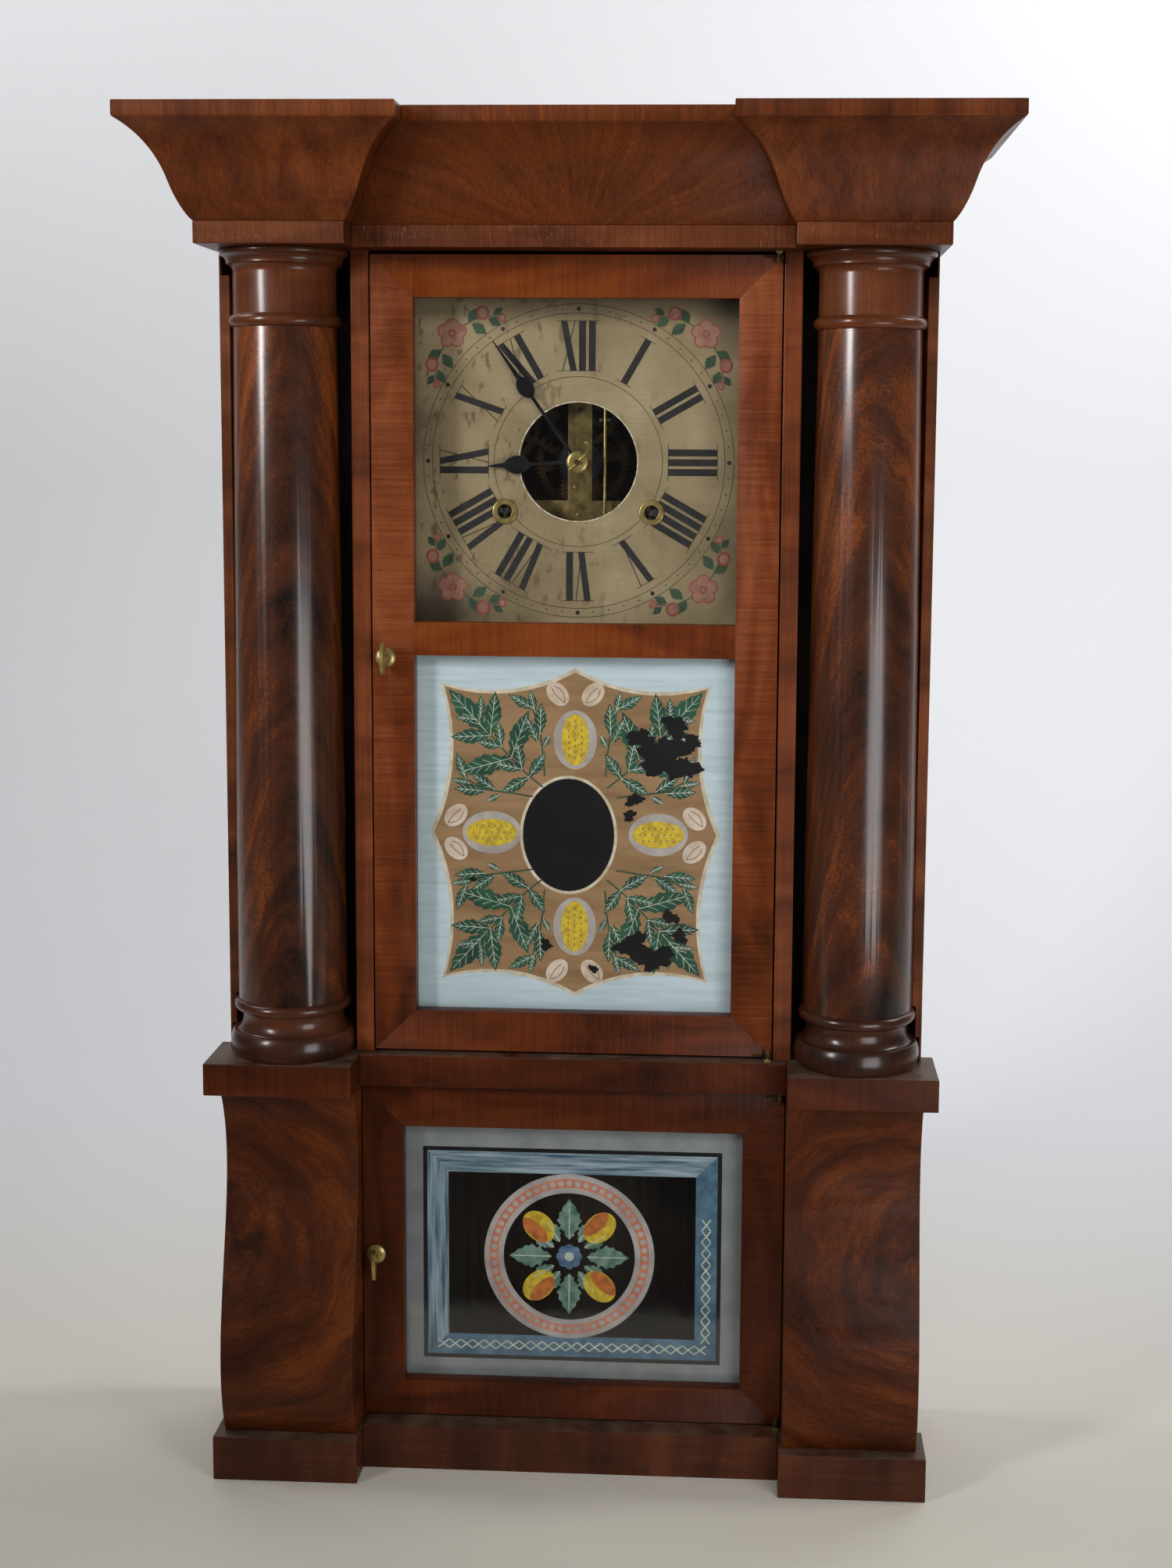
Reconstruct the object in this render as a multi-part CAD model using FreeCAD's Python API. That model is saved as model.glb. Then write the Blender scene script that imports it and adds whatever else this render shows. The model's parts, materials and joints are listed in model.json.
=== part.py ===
import FreeCAD, Part
import math
import os

from FreeCAD import Vector

# Heights of the case, from the floor up
foot_height = 28.0
base_height = 220.0
ledge_height = 20.0
upper_height = 494.0
frieze_height = 13.0
cove_height = 54.0
fillet_height = 9.0

# Widths of the case, from the middle line outwards
upper_door_width = 248.0
door_side_gap = 1.0
post_thick = 11.0
channel_width = 71.0
side_thick = 10.0
capital_overhang = 3.0
capital_post_lap = 5.0
ledge_overhang = 8.0
pilaster_post_lap = 2.5
foot_overhang = 5.5
foot_step = 2.0
cornice_flare = 36.0
cornice_wall = 12.0

# Depths of the case, measured back from the face of the doors
case_depth = 95.0
column_axis_depth = 3.0
capital_front_margin = 9.0
ledge_front_margin = 0.2
column_clear = 0.5
frieze_front = -24.0
frieze_back = 20.0
centre_ledge_front = -8.0
ledge_rail_back = 30.0
ledge_return = 14.5
foot_front = -37.0
foot_return = 0.0
plinth_front = -14.5
side_front = 28.0
side_edge_front = 4.6
panel_thick = 6.0
back_thick = 8.0
bottom_thick = 12.0
top_thick = 8.0

# Pilaster front: how far each level stands before the door face, and its height above the foot
pilaster_bottom = 27.0
pilaster_bulge = 36.5
pilaster_bulge_height = 52.0
pilaster_turn = 24.0
pilaster_turn_height = 112.0
pilaster_hollow = 12.5
pilaster_hollow_height = 165.0
pilaster_top = 26.0

# Turned columns
torus_r = 38.8
torus_bottom_r = 37.0
torus_height = 15.5
base_neck_r = 31.4
base_bead_r = 36.2
base_bead_height = 7.0
column_base_height = 35.0
shaft_bottom_r = 33.9
shaft_middle_r = 33.0
shaft_top_r = 31.0
astragal_r = 33.9
astragal_height = 7.5
capital_neck_height = 24.0
capital_step_r = 34.3
capital_lip_r = 39.0
capital_lip_height = 3.5
column_capital_height = 46.0

# Doors
door_thick = 18.0
door_end_gap = 2.0
stop_gap = 0.5
lower_door_gap = 0.8
upper_stile = 25.7
upper_top_rail = 25.3
upper_bottom_rail = 25.0
middle_rail = 20.4
dial_opening_height = 196.0
lower_stile = 25.7
lower_top_rail = 26.0
lower_bottom_rail = 22.5
rebate = 5.0
rebate_clear = 0.5
glass_depth = 10.0
glass_thick = 2.0

# Pin hinges and turn latches
hinge_pin_r = 1.0
hinge_knuckle_r = 2.0
hinge_knuckle_height = 4.8
hinge_set_in = 2.5
hinge_stand_off = 2.4
hinge_leaf_length = 9.0
hinge_leaf_height = 1.8
hinge_leaf_thick = 0.8
hinge_plate_thick = 1.2
hinge_plate_length = 14.0
running_clear = 0.06
latch_spindle_r = 2.0
latch_rosette_r = 6.2
latch_rosette_thick = 2.6
latch_set_in = 8.0
upper_latch_drop = 1.5
lower_latch_height = 108.0
latch_stem_r = 2.2
latch_reach = 15.0
latch_blade_thick = 2.2
latch_blade_half_height = 10.0
latch_drop_length = 14.0
latch_drop_r = 4.6
upper_tongue_length = 14.0
latch_tongue_width = 6.0
latch_tongue_thick = 1.7
latch_clear = 0.3
lower_tongue_lip = 2.3
mortise_clear = 0.6
mortise_end_clear = 1.0
mortise_wall = 0.8

# Dial and hands
dial_depth = 26.0
dial_thick = 6.0
dial_side_gap = 1.0
dial_above = 112.0
dial_below = 109.0
dial_hole_r = 36.4
cleat_width = 15.0
cleat_thick = 12.0
cleat_inset = 6.0
winding_spread = 45.5
winding_drop = 30.8
grommet_r = 8.0
grommet_shank_r = 7.3
grommet_hole_r = 4.5
grommet_flange = 1.2
grommet_shank_clear = 0.1
hand_dial_gap = 2.5
hand_gap = 2.0
hand_thick = 1.0
hand_boss_r = 4.8
minute_length = 90.0
minute_bulb_at = 54.0
minute_bulb_half = 4.9
minute_angle = 324.5
hour_length = 56.0
hour_bulb_at = 36.0
hour_bulb_half = 5.5
hour_angle = 267.0
collet_r = 6.7
collet_thick = 2.0
collet_pin_r = 0.75
collet_pin_length = 14.0
arbor_tip = 2.0

# Movement frame
plate_setback = 8.0
plate_thick = 2.0
plate_gap = 36.0
strap_width = 13.5
centre_strap_width = 15.0
tab_width = 12.0
pillar_r = 3.0
pillar_clear = 1.5
arbor_r = 1.5
arbor_end_gap = 0.5
cannon_r = 2.4
hour_pipe_r = 3.4
winding_arbor_r = 2.5
winding_square = 3.6
winding_square_depth = 27.5

# Wheels: tooth counts, and the place of each wheel behind the front plate
great_teeth = 60
centre_teeth = 60
third_teeth = 48
escape_teeth = 40
pin_wheel_teeth = 54
pinion_pins = 6
train_module = 0.97
cannon_teeth = 10
minute_wheel_teeth = 30
minute_pinion_teeth = 8
hour_wheel_teeth = 32
motion_distance = 17.4
strike_angle = 96.8
escape_angle = 52.7
escape_r = 15.0
wheel_thick = 1.5
great_thick = 2.5
hour_wheel_set = 1.0
minute_wheel_set = 4.0
escape_set = 3.0
strike_great_set = 8.0
third_set = 12.0
pin_wheel_set = 15.0
centre_set = 18.0
time_great_set = 24.0
pin_share = 0.2
pinion_side_gap = 1.0
shroud_thick = 0.8
shroud_rim = 0.4
rim_width = 3.5
spoke_width = 4.0

# Tooth form, in modules for heights and in shares of the pitch for half widths
tooth_addendum = 1.0
tooth_root_half = 0.30
tooth_tip_half = 0.05
tooth_bottom_clear = 0.4
leaf_addendum = 0.8
leaf_dedendum = 1.15
leaf_root_half = 0.28
leaf_tip_half = 0.08

# Winding drums, escapement, pendulum and strike work
drum_r = 9.0
drum_flange_r = 15.0
drum_flange_thick = 1.5
drum_gap = 1.0
time_drum_length = 19.0
strike_drum_length = 22.5
verge_span = 67.5
verge_clear = 1.6
verge_thick = 2.0
verge_arm_half = 1.6
verge_hub_r = 2.4
crutch_length = 45.0
crutch_wire_r = 0.7
fork_bar_half = 0.9
crutch_setback = 3.0
fork_clear = 0.7
suspension_rise = 17.0
suspension_r = 2.0
pendulum_eye_wall = 1.8
pendulum_eye_half = 2.5
pendulum_setback = 2.7
pendulum_rod_r = 0.9
pendulum_length = 314.0
bob_r = 30.0
bob_thick = 12.0
fly_r = 20.0
fly_width = 14.0
fly_vane = 0.8
hammer_offset = 36.0
hammer_hub_r = 3.0
hammer_wire_r = 1.1
hammer_head_r = 4.0
hammer_head_length = 10.0
hammer_gap = 0.8
hammer_tail = 10.0
bell_side = -66.0
bell_drop = 112.0
bell_r = 32.0
bell_height = 24.0
bell_wall = 1.6
bell_gap = 11.0
bell_post_r = 2.5

# Weights and pulleys
weight_side_gap = 7.5
weight_depth_gap = 3.0
weight_height = 180.0
weight_edge = 6.0
weight_eye_r = 5.0
weight_eye_wire = 1.3
pulley_r = 16.0
pulley_groove_r = 13.0
pulley_thick = 10.0
pulley_pin_r = 2.0
pulley_floor_gap = 3.0
ear_thick = 2.0
ear_half_width = 6.0
ear_gap = 0.5
slot_half_width = 4.0
slot_margin = 5.0

# Levels worked out from the heights
ledge_bottom = foot_height + base_height
ledge_top = ledge_bottom + ledge_height
frieze_bottom = ledge_top + upper_height
cornice_bottom = frieze_bottom + frieze_height
cornice_top = cornice_bottom + cove_height + fillet_height

# Lines worked out from the widths
post_inner = upper_door_width / 2 + door_side_gap
post_outer = post_inner + post_thick
side_inner = post_outer + channel_width
side_outer = side_inner + side_thick
column_x = (post_outer + side_outer) / 2
capital_inner = post_outer - capital_post_lap
capital_outer = side_outer + capital_overhang
ledge_inner = post_outer - pilaster_post_lap
ledge_outer = side_outer + ledge_overhang
foot_inner = ledge_inner - foot_step
foot_outer = side_outer + foot_overhang
upper_half = upper_door_width / 2
lower_half = ledge_inner - lower_door_gap

# Planes worked out from the depths
capital_front = column_axis_depth - capital_lip_r - capital_front_margin
ledge_front = column_axis_depth - torus_r - ledge_front_margin
panel_front = column_axis_depth + max(torus_r, capital_lip_r) + column_clear
panel_back = panel_front + panel_thick
cornice_front = capital_front - cornice_flare
door_y = -(case_depth + cornice_front) / 2
back_front = case_depth - back_thick
post_step = door_thick + stop_gap

# Levels of the doors and their openings
upper_bottom = ledge_top + door_end_gap
upper_top = frieze_bottom - door_end_gap
dial_opening_top = upper_top - upper_top_rail
dial_opening_bottom = dial_opening_top - dial_opening_height
tablet_top = dial_opening_bottom - middle_rail
tablet_bottom = upper_bottom + upper_bottom_rail
lower_bottom = foot_height + door_end_gap
lower_top = ledge_bottom - door_end_gap
dial_z = (dial_opening_top + dial_opening_bottom) / 2

# Planes of the dial, the hands and the movement
dial_back = dial_depth + dial_thick
hour_front = dial_depth - hand_dial_gap - hand_thick
minute_front = hour_front - hand_gap - hand_thick
collet_front = minute_front - collet_thick
plate_front = dial_back + plate_setback
plate_back = plate_front + plate_thick
rear_plate_front = plate_back + plate_gap
rear_plate_back = rear_plate_front + plate_thick
pendulum_depth = dial_back + pendulum_setback
crutch_depth = plate_front - crutch_setback
arbor_end = rear_plate_back - arbor_end_gap


def box(x0, x1, depth0, depth1, z0, z1):
    """A block between two depths behind the door face."""
    return Part.makeBox(x1 - x0, depth1 - depth0, z1 - z0, Vector(x0, door_y + depth0, z0))


def rod(radius, x, z, depth0, depth1):
    """A round bar that runs from front to back."""
    return Part.makeCylinder(radius, depth1 - depth0, Vector(x, door_y + depth0, z), Vector(0, 1, 0))


def slab(outline, depth0, depth1):
    """A flat piece with a straight-sided outline of (x, z) points."""
    corners = [Vector(x, door_y + depth0, z) for x, z in outline]
    face = Part.Face(Part.makePolygon(corners + corners[:1]))
    return face.extrude(Vector(0, depth1 - depth0, 0))


def joined(*shapes):
    """Several overlapping or touching solids made one."""
    return shapes[0].fuse(list(shapes[1:])).removeSplitter()


def without(shape, *tools):
    """A solid with other solids cut out of it."""
    return shape.cut(list(tools))


def mirrored(shape):
    """The same piece on the other side of the middle line."""
    return shape.mirror(Vector(0, 0, 0), Vector(1, 0, 0))


def both_sides(shape):
    """A right-hand piece and its left-hand twin."""
    return [mirrored(shape), shape]


def save(name, shapes):
    """Write the solids of one named piece."""
    Part.makeCompound(shapes).exportStep("parts/" + name + ".step")


def edges_of(start, steps, place):
    """Lines and three-point arcs from a start, each step being an end or a middle and an end."""
    edges = []
    here = place(*start)
    for step in steps:
        if len(step) == 2:
            there = place(*step)
            edges.append(Part.makeLine(here, there))
        else:
            there = place(*step[2:])
            edges.append(Part.Arc(here, place(*step[:2]), there).toShape())
        here = there
    return edges


def turned(start, steps, x, depth, z):
    """A turned piece from a (radius, height) half section, set upright."""
    edges = edges_of(start, steps, lambda radius, height: Vector(radius, 0, height))
    solid = Part.Face(Part.Wire(edges)).revolve(Vector(0, 0, 0), Vector(0, 0, 1), 360)
    return solid.translated(Vector(x, door_y + depth, z))


def turned_level(start, steps, x, depth, z):
    """A turned piece from a (radius, depth) half section, with its axis running to the back."""
    edges = edges_of(start, steps, lambda radius, along: Vector(radius, along, 0))
    solid = Part.Face(Part.Wire(edges)).revolve(Vector(0, 0, 0), Vector(0, 1, 0), 360)
    return solid.translated(Vector(x, door_y + depth, z))


os.makedirs("parts", exist_ok=True)

# Carcase boards
back_board = box(-side_outer, side_outer, back_front, case_depth, 0, cornice_bottom)
save("back_board", [back_board])
side_board = box(side_inner, side_outer, side_front, back_front, 0, cornice_bottom)
side_edge = box(side_inner, side_outer, side_edge_front, side_front, ledge_top, frieze_bottom)
capital_foot = frieze_bottom - column_capital_height + astragal_height + capital_neck_height
for turning_r, bottom, top in (
    (torus_r, ledge_top, ledge_top + torus_height),
    (base_bead_r, ledge_top, ledge_top + column_base_height),
    (max(shaft_bottom_r, astragal_r), ledge_top, frieze_bottom),
    (capital_lip_r, capital_foot, frieze_bottom),
):
    foot = Vector(column_x, door_y + column_axis_depth, bottom)
    side_edge = without(side_edge, Part.makeCylinder(turning_r + column_clear, top - bottom, foot))
save("side_boards", both_sides(joined(side_board, side_edge)))
bottom_board = box(-side_inner, side_inner, post_step, back_front, foot_height - bottom_thick, foot_height)
save("bottom_board", [bottom_board])
channel_panel = box(post_outer, side_inner, panel_front, panel_back, foot_height, cornice_bottom)
save("channel_panels", both_sides(channel_panel))

# Door posts, stepped back below the ledge to make a stop for the lower door
upper_post = box(post_inner, post_outer, 0, back_front, ledge_top, cornice_bottom)
lower_post = box(post_inner, post_outer, post_step, back_front, foot_height, ledge_top)
post = joined(upper_post, lower_post)
upper_latch_x = -upper_half + latch_set_in
upper_latch_z = tablet_top - upper_latch_drop
lower_latch_x = -lower_half + latch_set_in
lower_latch_z = foot_height + lower_latch_height
upper_tongue_front = door_thick + latch_clear
lower_tongue_front = upper_tongue_front + lower_tongue_lip
lower_tongue_length = post_outer - mortise_wall - mortise_end_clear + lower_latch_x
tongue_half = latch_tongue_width / 2
mortise_half = tongue_half + mortise_end_clear


def latch_mortise(x, z, tongue_front, length, way):
    """The pocket in the left post that a latch tongue turns into, from below (-1) or from above (1)."""
    reach = length + mortise_end_clear
    tongue_back = tongue_front + latch_tongue_thick
    ends = sorted((z + way * reach, z - way * mortise_half))
    return box(x - reach, x + mortise_half, tongue_front - latch_clear, tongue_back + mortise_clear, *ends)


upper_mortise = latch_mortise(upper_latch_x, upper_latch_z, upper_tongue_front, upper_tongue_length, -1)
lower_mortise = latch_mortise(lower_latch_x, lower_latch_z, lower_tongue_front, lower_tongue_length, 1)
way_out = box(
    lower_latch_x - mortise_half, lower_latch_x + mortise_half,
    post_step, lower_tongue_front + latch_tongue_thick + mortise_clear,
    lower_latch_z - mortise_half, lower_latch_z + lower_tongue_length + mortise_end_clear,
)
left_post = without(mirrored(post), upper_mortise, lower_mortise, way_out)
save("door_posts", [left_post, post])

# Frieze rail and the capital blocks over the columns
frieze_nose = box(-capital_inner, capital_inner, frieze_front, 0, frieze_bottom, cornice_bottom)
frieze_tail = box(-post_inner, post_inner, 0, frieze_back, frieze_bottom, cornice_bottom)
save("frieze_rail", [joined(frieze_nose, frieze_tail)])
capital_block = joined(
    box(capital_inner, capital_outer, capital_front, 0, frieze_bottom, cornice_bottom),
    box(post_outer, capital_outer, 0, side_front, frieze_bottom, cornice_bottom),
    box(post_outer, side_inner, side_front, panel_front, frieze_bottom, cornice_bottom),
    box(side_outer, capital_outer, side_front, case_depth, frieze_bottom, cornice_bottom),
)
save("capital_blocks", both_sides(capital_block))

# Section of the cornice: poles of two curves, in shares of the flare and of the cove's height
cove_poles = (
    ((0.0, 0.0), (0.13, 0.09), (0.245, 0.26), (0.31, 0.40)),
    ((0.31, 0.40), (0.42, 0.63), (0.62, 0.86), (1.0, 1.0)),
)


def cornice_section(place):
    """The closed section of the moulding, where place maps (outward, height) to a point."""
    edges = []
    for poles in cove_poles:
        curve = Part.BezierCurve()
        curve.setPoles([place(cornice_flare * out, cove_height * up) for out, up in poles])
        edges.append(curve.toShape())
    fillet_top = cove_height + fillet_height
    corners = [
        (cornice_flare, cove_height),
        (cornice_flare, fillet_top),
        (-cornice_wall, fillet_top),
        (-cornice_wall, 0.0),
        (0.0, 0.0),
    ]
    for start, end in zip(corners, corners[1:]):
        edges.append(Part.makeLine(place(*start), place(*end)))
    return Part.Wire(edges)


def moulding(start, end, outward, start_mitre, end_mitre):
    """A length of cornice between two base points, its ends sheared along the run for mitres."""
    first = Vector(start[0], door_y + start[1], cornice_bottom)
    last = Vector(end[0], door_y + end[1], cornice_bottom)
    along = (last - first).normalize()
    out_way = Vector(outward[0], outward[1], 0)
    up_way = Vector(0, 0, 1)
    sections = []
    for base, mitre in ((first, start_mitre), (last, end_mitre)):
        def place(out, up, base=base, mitre=mitre):
            return base + out_way * out + up_way * up + along * (mitre * out)
        sections.append(cornice_section(place))
    return Part.makeLoft(sections, True, True)


# Cornice: a positive mitre lengthens the moulding's outer edge at its end, a negative one at its start
corner = (capital_outer, capital_front)
inner_corner = (capital_inner, capital_front)
meeting = (capital_inner, frieze_front)
corner_runs = [
    moulding((capital_outer, case_depth), corner, (1, 0), 0, 1),
    moulding(corner, inner_corner, (0, -1), -1, 1),
    moulding(inner_corner, meeting, (-1, 0), -1, -1),
]
save("right_cornice", corner_runs)
save("left_cornice", [mirrored(run) for run in corner_runs])
centre_run = moulding((-capital_inner, frieze_front), meeting, (0, -1), 1, -1)
save("centre_cornice", [centre_run])

# Turned columns
column_base = turned(
    (0, 0),
    [
        (torus_bottom_r, 0),
        (torus_r, torus_height * 0.58, torus_bottom_r, torus_height),
        (torus_bottom_r - 2.4, torus_height),
        (base_neck_r, torus_height * 1.4, base_neck_r + 1.2, column_base_height - base_bead_height),
        (shaft_bottom_r, column_base_height - base_bead_height),
        (base_bead_r, column_base_height - base_bead_height / 2, shaft_bottom_r, column_base_height),
        (0, column_base_height),
        (0, 0),
    ],
    column_x, column_axis_depth, ledge_top,
)
save("column_bases", both_sides(column_base))
shaft_bottom = ledge_top + column_base_height
shaft_height = upper_height - column_base_height - column_capital_height
column_shaft = turned(
    (0, 0),
    [
        (shaft_bottom_r, 0),
        (shaft_middle_r, shaft_height / 2, shaft_top_r, shaft_height),
        (0, shaft_height),
        (0, 0),
    ],
    column_x, column_axis_depth, shaft_bottom,
)
save("column_shafts", both_sides(column_shaft))
neck_top = astragal_height + capital_neck_height
lip_bottom = column_capital_height - capital_lip_height
cavetto = (lip_bottom - neck_top) / 2
column_capital = turned(
    (0, 0),
    [
        (shaft_top_r, 0),
        (astragal_r, astragal_height / 2, shaft_top_r, astragal_height),
        (shaft_top_r, neck_top),
        (shaft_top_r + 1.0, neck_top + cavetto * 0.7, capital_step_r, neck_top + cavetto),
        (capital_step_r + 0.6, neck_top + cavetto),
        (capital_step_r + 1.4, lip_bottom - cavetto * 0.35, capital_lip_r - 0.7, lip_bottom),
        (capital_lip_r, lip_bottom + capital_lip_height / 2, capital_lip_r - 0.5, column_capital_height),
        (0, column_capital_height),
        (0, 0),
    ],
    column_x, column_axis_depth, frieze_bottom - column_capital_height,
)
save("column_capitals", both_sides(column_capital))

# Ledge between the two stages
ledge_block = joined(
    box(ledge_inner, ledge_outer, ledge_front, ledge_return, ledge_bottom, ledge_top),
    box(post_outer, side_outer, ledge_return, side_front, ledge_bottom, ledge_top),
    box(post_outer, side_inner, side_front, panel_front, ledge_bottom, ledge_top),
)
save("ledge_blocks", both_sides(ledge_block))
centre_ledge = joined(
    box(-ledge_inner, ledge_inner, centre_ledge_front, post_step, ledge_bottom, ledge_top),
    box(-post_inner, post_inner, post_step, ledge_rail_back, ledge_bottom, ledge_top),
)
save("centre_ledge", [centre_ledge])

# Pilasters of the base, with a hollow above and a swell below
pilaster_levels = (
    (pilaster_bottom, 0.0),
    (pilaster_bulge, pilaster_bulge_height),
    (pilaster_turn, pilaster_turn_height),
    (pilaster_hollow, pilaster_hollow_height),
    (pilaster_top, base_height),
)
scroll_points = [Vector(ledge_inner, door_y - front, foot_height + up) for front, up in pilaster_levels]
scroll = Part.BSplineCurve()
scroll.interpolate(scroll_points)
pilaster_back = [
    scroll_points[-1],
    Vector(ledge_inner, door_y + side_front, ledge_bottom),
    Vector(ledge_inner, door_y + side_front, foot_height),
    scroll_points[0],
]
pilaster_wire = Part.Wire([scroll.toShape()] + Part.makePolygon(pilaster_back).Edges)
pilaster = Part.Face(pilaster_wire).extrude(Vector(side_outer - ledge_inner, 0, 0))
post_rebate = box(ledge_inner, post_outer, post_step, side_front, foot_height, ledge_bottom)
pilaster = without(pilaster, post_rebate)
save("pilasters", both_sides(pilaster))

# Feet and plinth
foot_block = joined(
    box(foot_inner, foot_outer, foot_front, foot_return, 0, foot_height),
    box(foot_inner, side_outer, foot_return, post_step, 0, foot_height),
    box(side_inner, side_outer, post_step, side_front, 0, foot_height),
)
save("foot_blocks", both_sides(foot_block))
centre_plinth = box(-foot_inner, foot_inner, plinth_front, post_step, 0, foot_height)
save("centre_plinth", [centre_plinth])


def stile(half, width, z0, z1, low_rail, high_rail):
    """The right-hand upright of a door, mitred at both ends."""
    inner = half - width
    return slab([(half, z0), (half, z1), (inner, z1 - high_rail), (inner, z0 + low_rail)], 0, door_thick)


def rail(half, width, z_edge, z_inner):
    """A top or bottom member of a door, mitred to its stiles."""
    inner = half - width
    return slab([(-half, z_edge), (half, z_edge), (inner, z_inner), (-inner, z_inner)], 0, door_thick)


def glass_rebate(half, z0, z1):
    """The rebate at the back of an opening that takes the pane."""
    return box(-half - rebate, half + rebate, glass_depth, door_thick, z0 - rebate, z1 + rebate)


def pane(half, z0, z1):
    """The glass that lies in such a rebate."""
    lap = rebate - rebate_clear
    return box(-half - lap, half + lap, glass_depth, glass_depth + glass_thick, z0 - lap, z1 + lap)


def latch_bore(x, z):
    """The hole through a stile for a latch spindle."""
    return rod(latch_spindle_r + running_clear, x, z, 0, door_thick)


# Upper door
upper_opening = upper_half - upper_stile
dial_rebate = glass_rebate(upper_opening, dial_opening_bottom, dial_opening_top)
tablet_rebate = glass_rebate(upper_opening, tablet_bottom, tablet_top)
upper_stile_solid = stile(upper_half, upper_stile, upper_bottom, upper_top, upper_bottom_rail, upper_top_rail)
upper_stile_solid = without(upper_stile_solid, dial_rebate, tablet_rebate)
left_upper_stile = without(mirrored(upper_stile_solid), latch_bore(upper_latch_x, upper_latch_z))
save("upper_door_stiles", [left_upper_stile, upper_stile_solid])
upper_rails = [
    rail(upper_half, upper_stile, upper_top, dial_opening_top),
    box(-upper_opening, upper_opening, 0, door_thick, tablet_top, dial_opening_bottom),
    rail(upper_half, upper_stile, upper_bottom, tablet_bottom),
]
save("upper_door_rails", [without(member, dial_rebate, tablet_rebate) for member in upper_rails])
save("dial_glass", [pane(upper_opening, dial_opening_bottom, dial_opening_top)])
save("upper_tablet", [pane(upper_opening, tablet_bottom, tablet_top)])

# Lower door
lower_opening = lower_half - lower_stile
lower_opening_bottom = lower_bottom + lower_bottom_rail
lower_opening_top = lower_top - lower_top_rail
lower_rebate = glass_rebate(lower_opening, lower_opening_bottom, lower_opening_top)
lower_stile_solid = stile(lower_half, lower_stile, lower_bottom, lower_top, lower_bottom_rail, lower_top_rail)
lower_stile_solid = without(lower_stile_solid, lower_rebate)
left_lower_stile = without(mirrored(lower_stile_solid), latch_bore(lower_latch_x, lower_latch_z))
save("lower_door_stiles", [left_lower_stile, lower_stile_solid])
lower_rails = [
    rail(lower_half, lower_stile, lower_top, lower_opening_top),
    rail(lower_half, lower_stile, lower_bottom, lower_opening_bottom),
]
save("lower_door_rails", [without(member, lower_rebate) for member in lower_rails])
save("lower_tablet", [pane(lower_opening, lower_opening_bottom, lower_opening_top)])


def hinge_axis_x(half):
    """Where a door's hinge line lies, close to its right-hand edge."""
    return half - hinge_set_in


def upright(radius, x, z0, z1):
    """A round bar on a hinge line."""
    return Part.makeCylinder(radius, z1 - z0, Vector(x, door_y - hinge_stand_off, z0))


def knuckle(half, z_edge, inward):
    """The eye and leaf on a door's face, at its top or bottom edge."""
    x = hinge_axis_x(half)
    z_inner = z_edge + inward * hinge_knuckle_height
    z0 = min(z_edge, z_inner)
    z1 = max(z_edge, z_inner)
    leaf_ends = sorted((z_edge, z_edge + inward * hinge_leaf_height))
    leaf = box(x - hinge_leaf_length, x, -hinge_leaf_thick, 0, *leaf_ends)
    eye = upright(hinge_knuckle_r, x, z0, z1)
    solid = joined(leaf, without(eye, box(x - hinge_knuckle_r, x + hinge_knuckle_r, 0, hinge_knuckle_r, z0, z1)))
    return without(solid, upright(hinge_pin_r + running_clear, x, z0, z1))


def hinge_pin(half, z_seat, inward):
    """The plate fixed to the case above or below a door, with the pin that enters the eye."""
    x = hinge_axis_x(half)
    z_plate = z_seat + inward * hinge_plate_thick
    z_tip = z_seat + inward * (door_end_gap + hinge_knuckle_height)
    plate = box(
        x - hinge_knuckle_r, x + hinge_knuckle_r,
        -hinge_stand_off - hinge_knuckle_r, -hinge_stand_off - hinge_knuckle_r + hinge_plate_length,
        min(z_seat, z_plate), max(z_seat, z_plate),
    )
    return joined(plate, upright(hinge_pin_r, x, min(z_seat, z_tip), max(z_seat, z_tip)))


# Hinges of both doors
save("upper_door_hinges", [knuckle(upper_half, upper_top, -1), knuckle(upper_half, upper_bottom, 1)])
save("lower_door_hinges", [knuckle(lower_half, lower_top, -1), knuckle(lower_half, lower_bottom, 1)])
save("hinge_pins", [
    hinge_pin(upper_half, frieze_bottom, -1),
    hinge_pin(upper_half, ledge_top, 1),
    hinge_pin(lower_half, ledge_bottom, -1),
    hinge_pin(lower_half, foot_height, 1),
])


def latch_body(x, z, tongue_front, length, way):
    """Rosette, stem, spindle and tongue of a turn latch, the tongue resting down (-1) or up (1)."""
    tongue_back = tongue_front + latch_tongue_thick
    rosette_back = -latch_clear
    rosette_front = rosette_back - latch_rosette_thick
    rosette = turned_level(
        (0, 0),
        [
            (latch_rosette_r, 0),
            (latch_rosette_r, -latch_rosette_thick * 0.4),
            (latch_rosette_r * 0.7, -latch_rosette_thick * 0.85, latch_stem_r * 0.9, -latch_rosette_thick),
            (0, -latch_rosette_thick),
            (0, 0),
        ],
        x, rosette_back, z,
    )
    stem = rod(latch_stem_r, x, z, rosette_front - latch_reach / 2, rosette_back)
    spindle = rod(latch_spindle_r, x, z, rosette_back, tongue_back)
    ends = sorted((z, z + way * length))
    tongue = joined(
        rod(tongue_half, x, z, tongue_front, tongue_back),
        box(x - tongue_half, x + tongue_half, tongue_front, tongue_back, *ends),
    )
    return joined(rosette, stem, spindle, tongue), rosette_front


def blade(edges, x):
    """A thumb piece standing on edge in front of a rosette."""
    return Part.Face(Part.Wire(edges)).extrude(Vector(latch_blade_thick, 0, 0)).translated(Vector(x, 0, 0))


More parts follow.
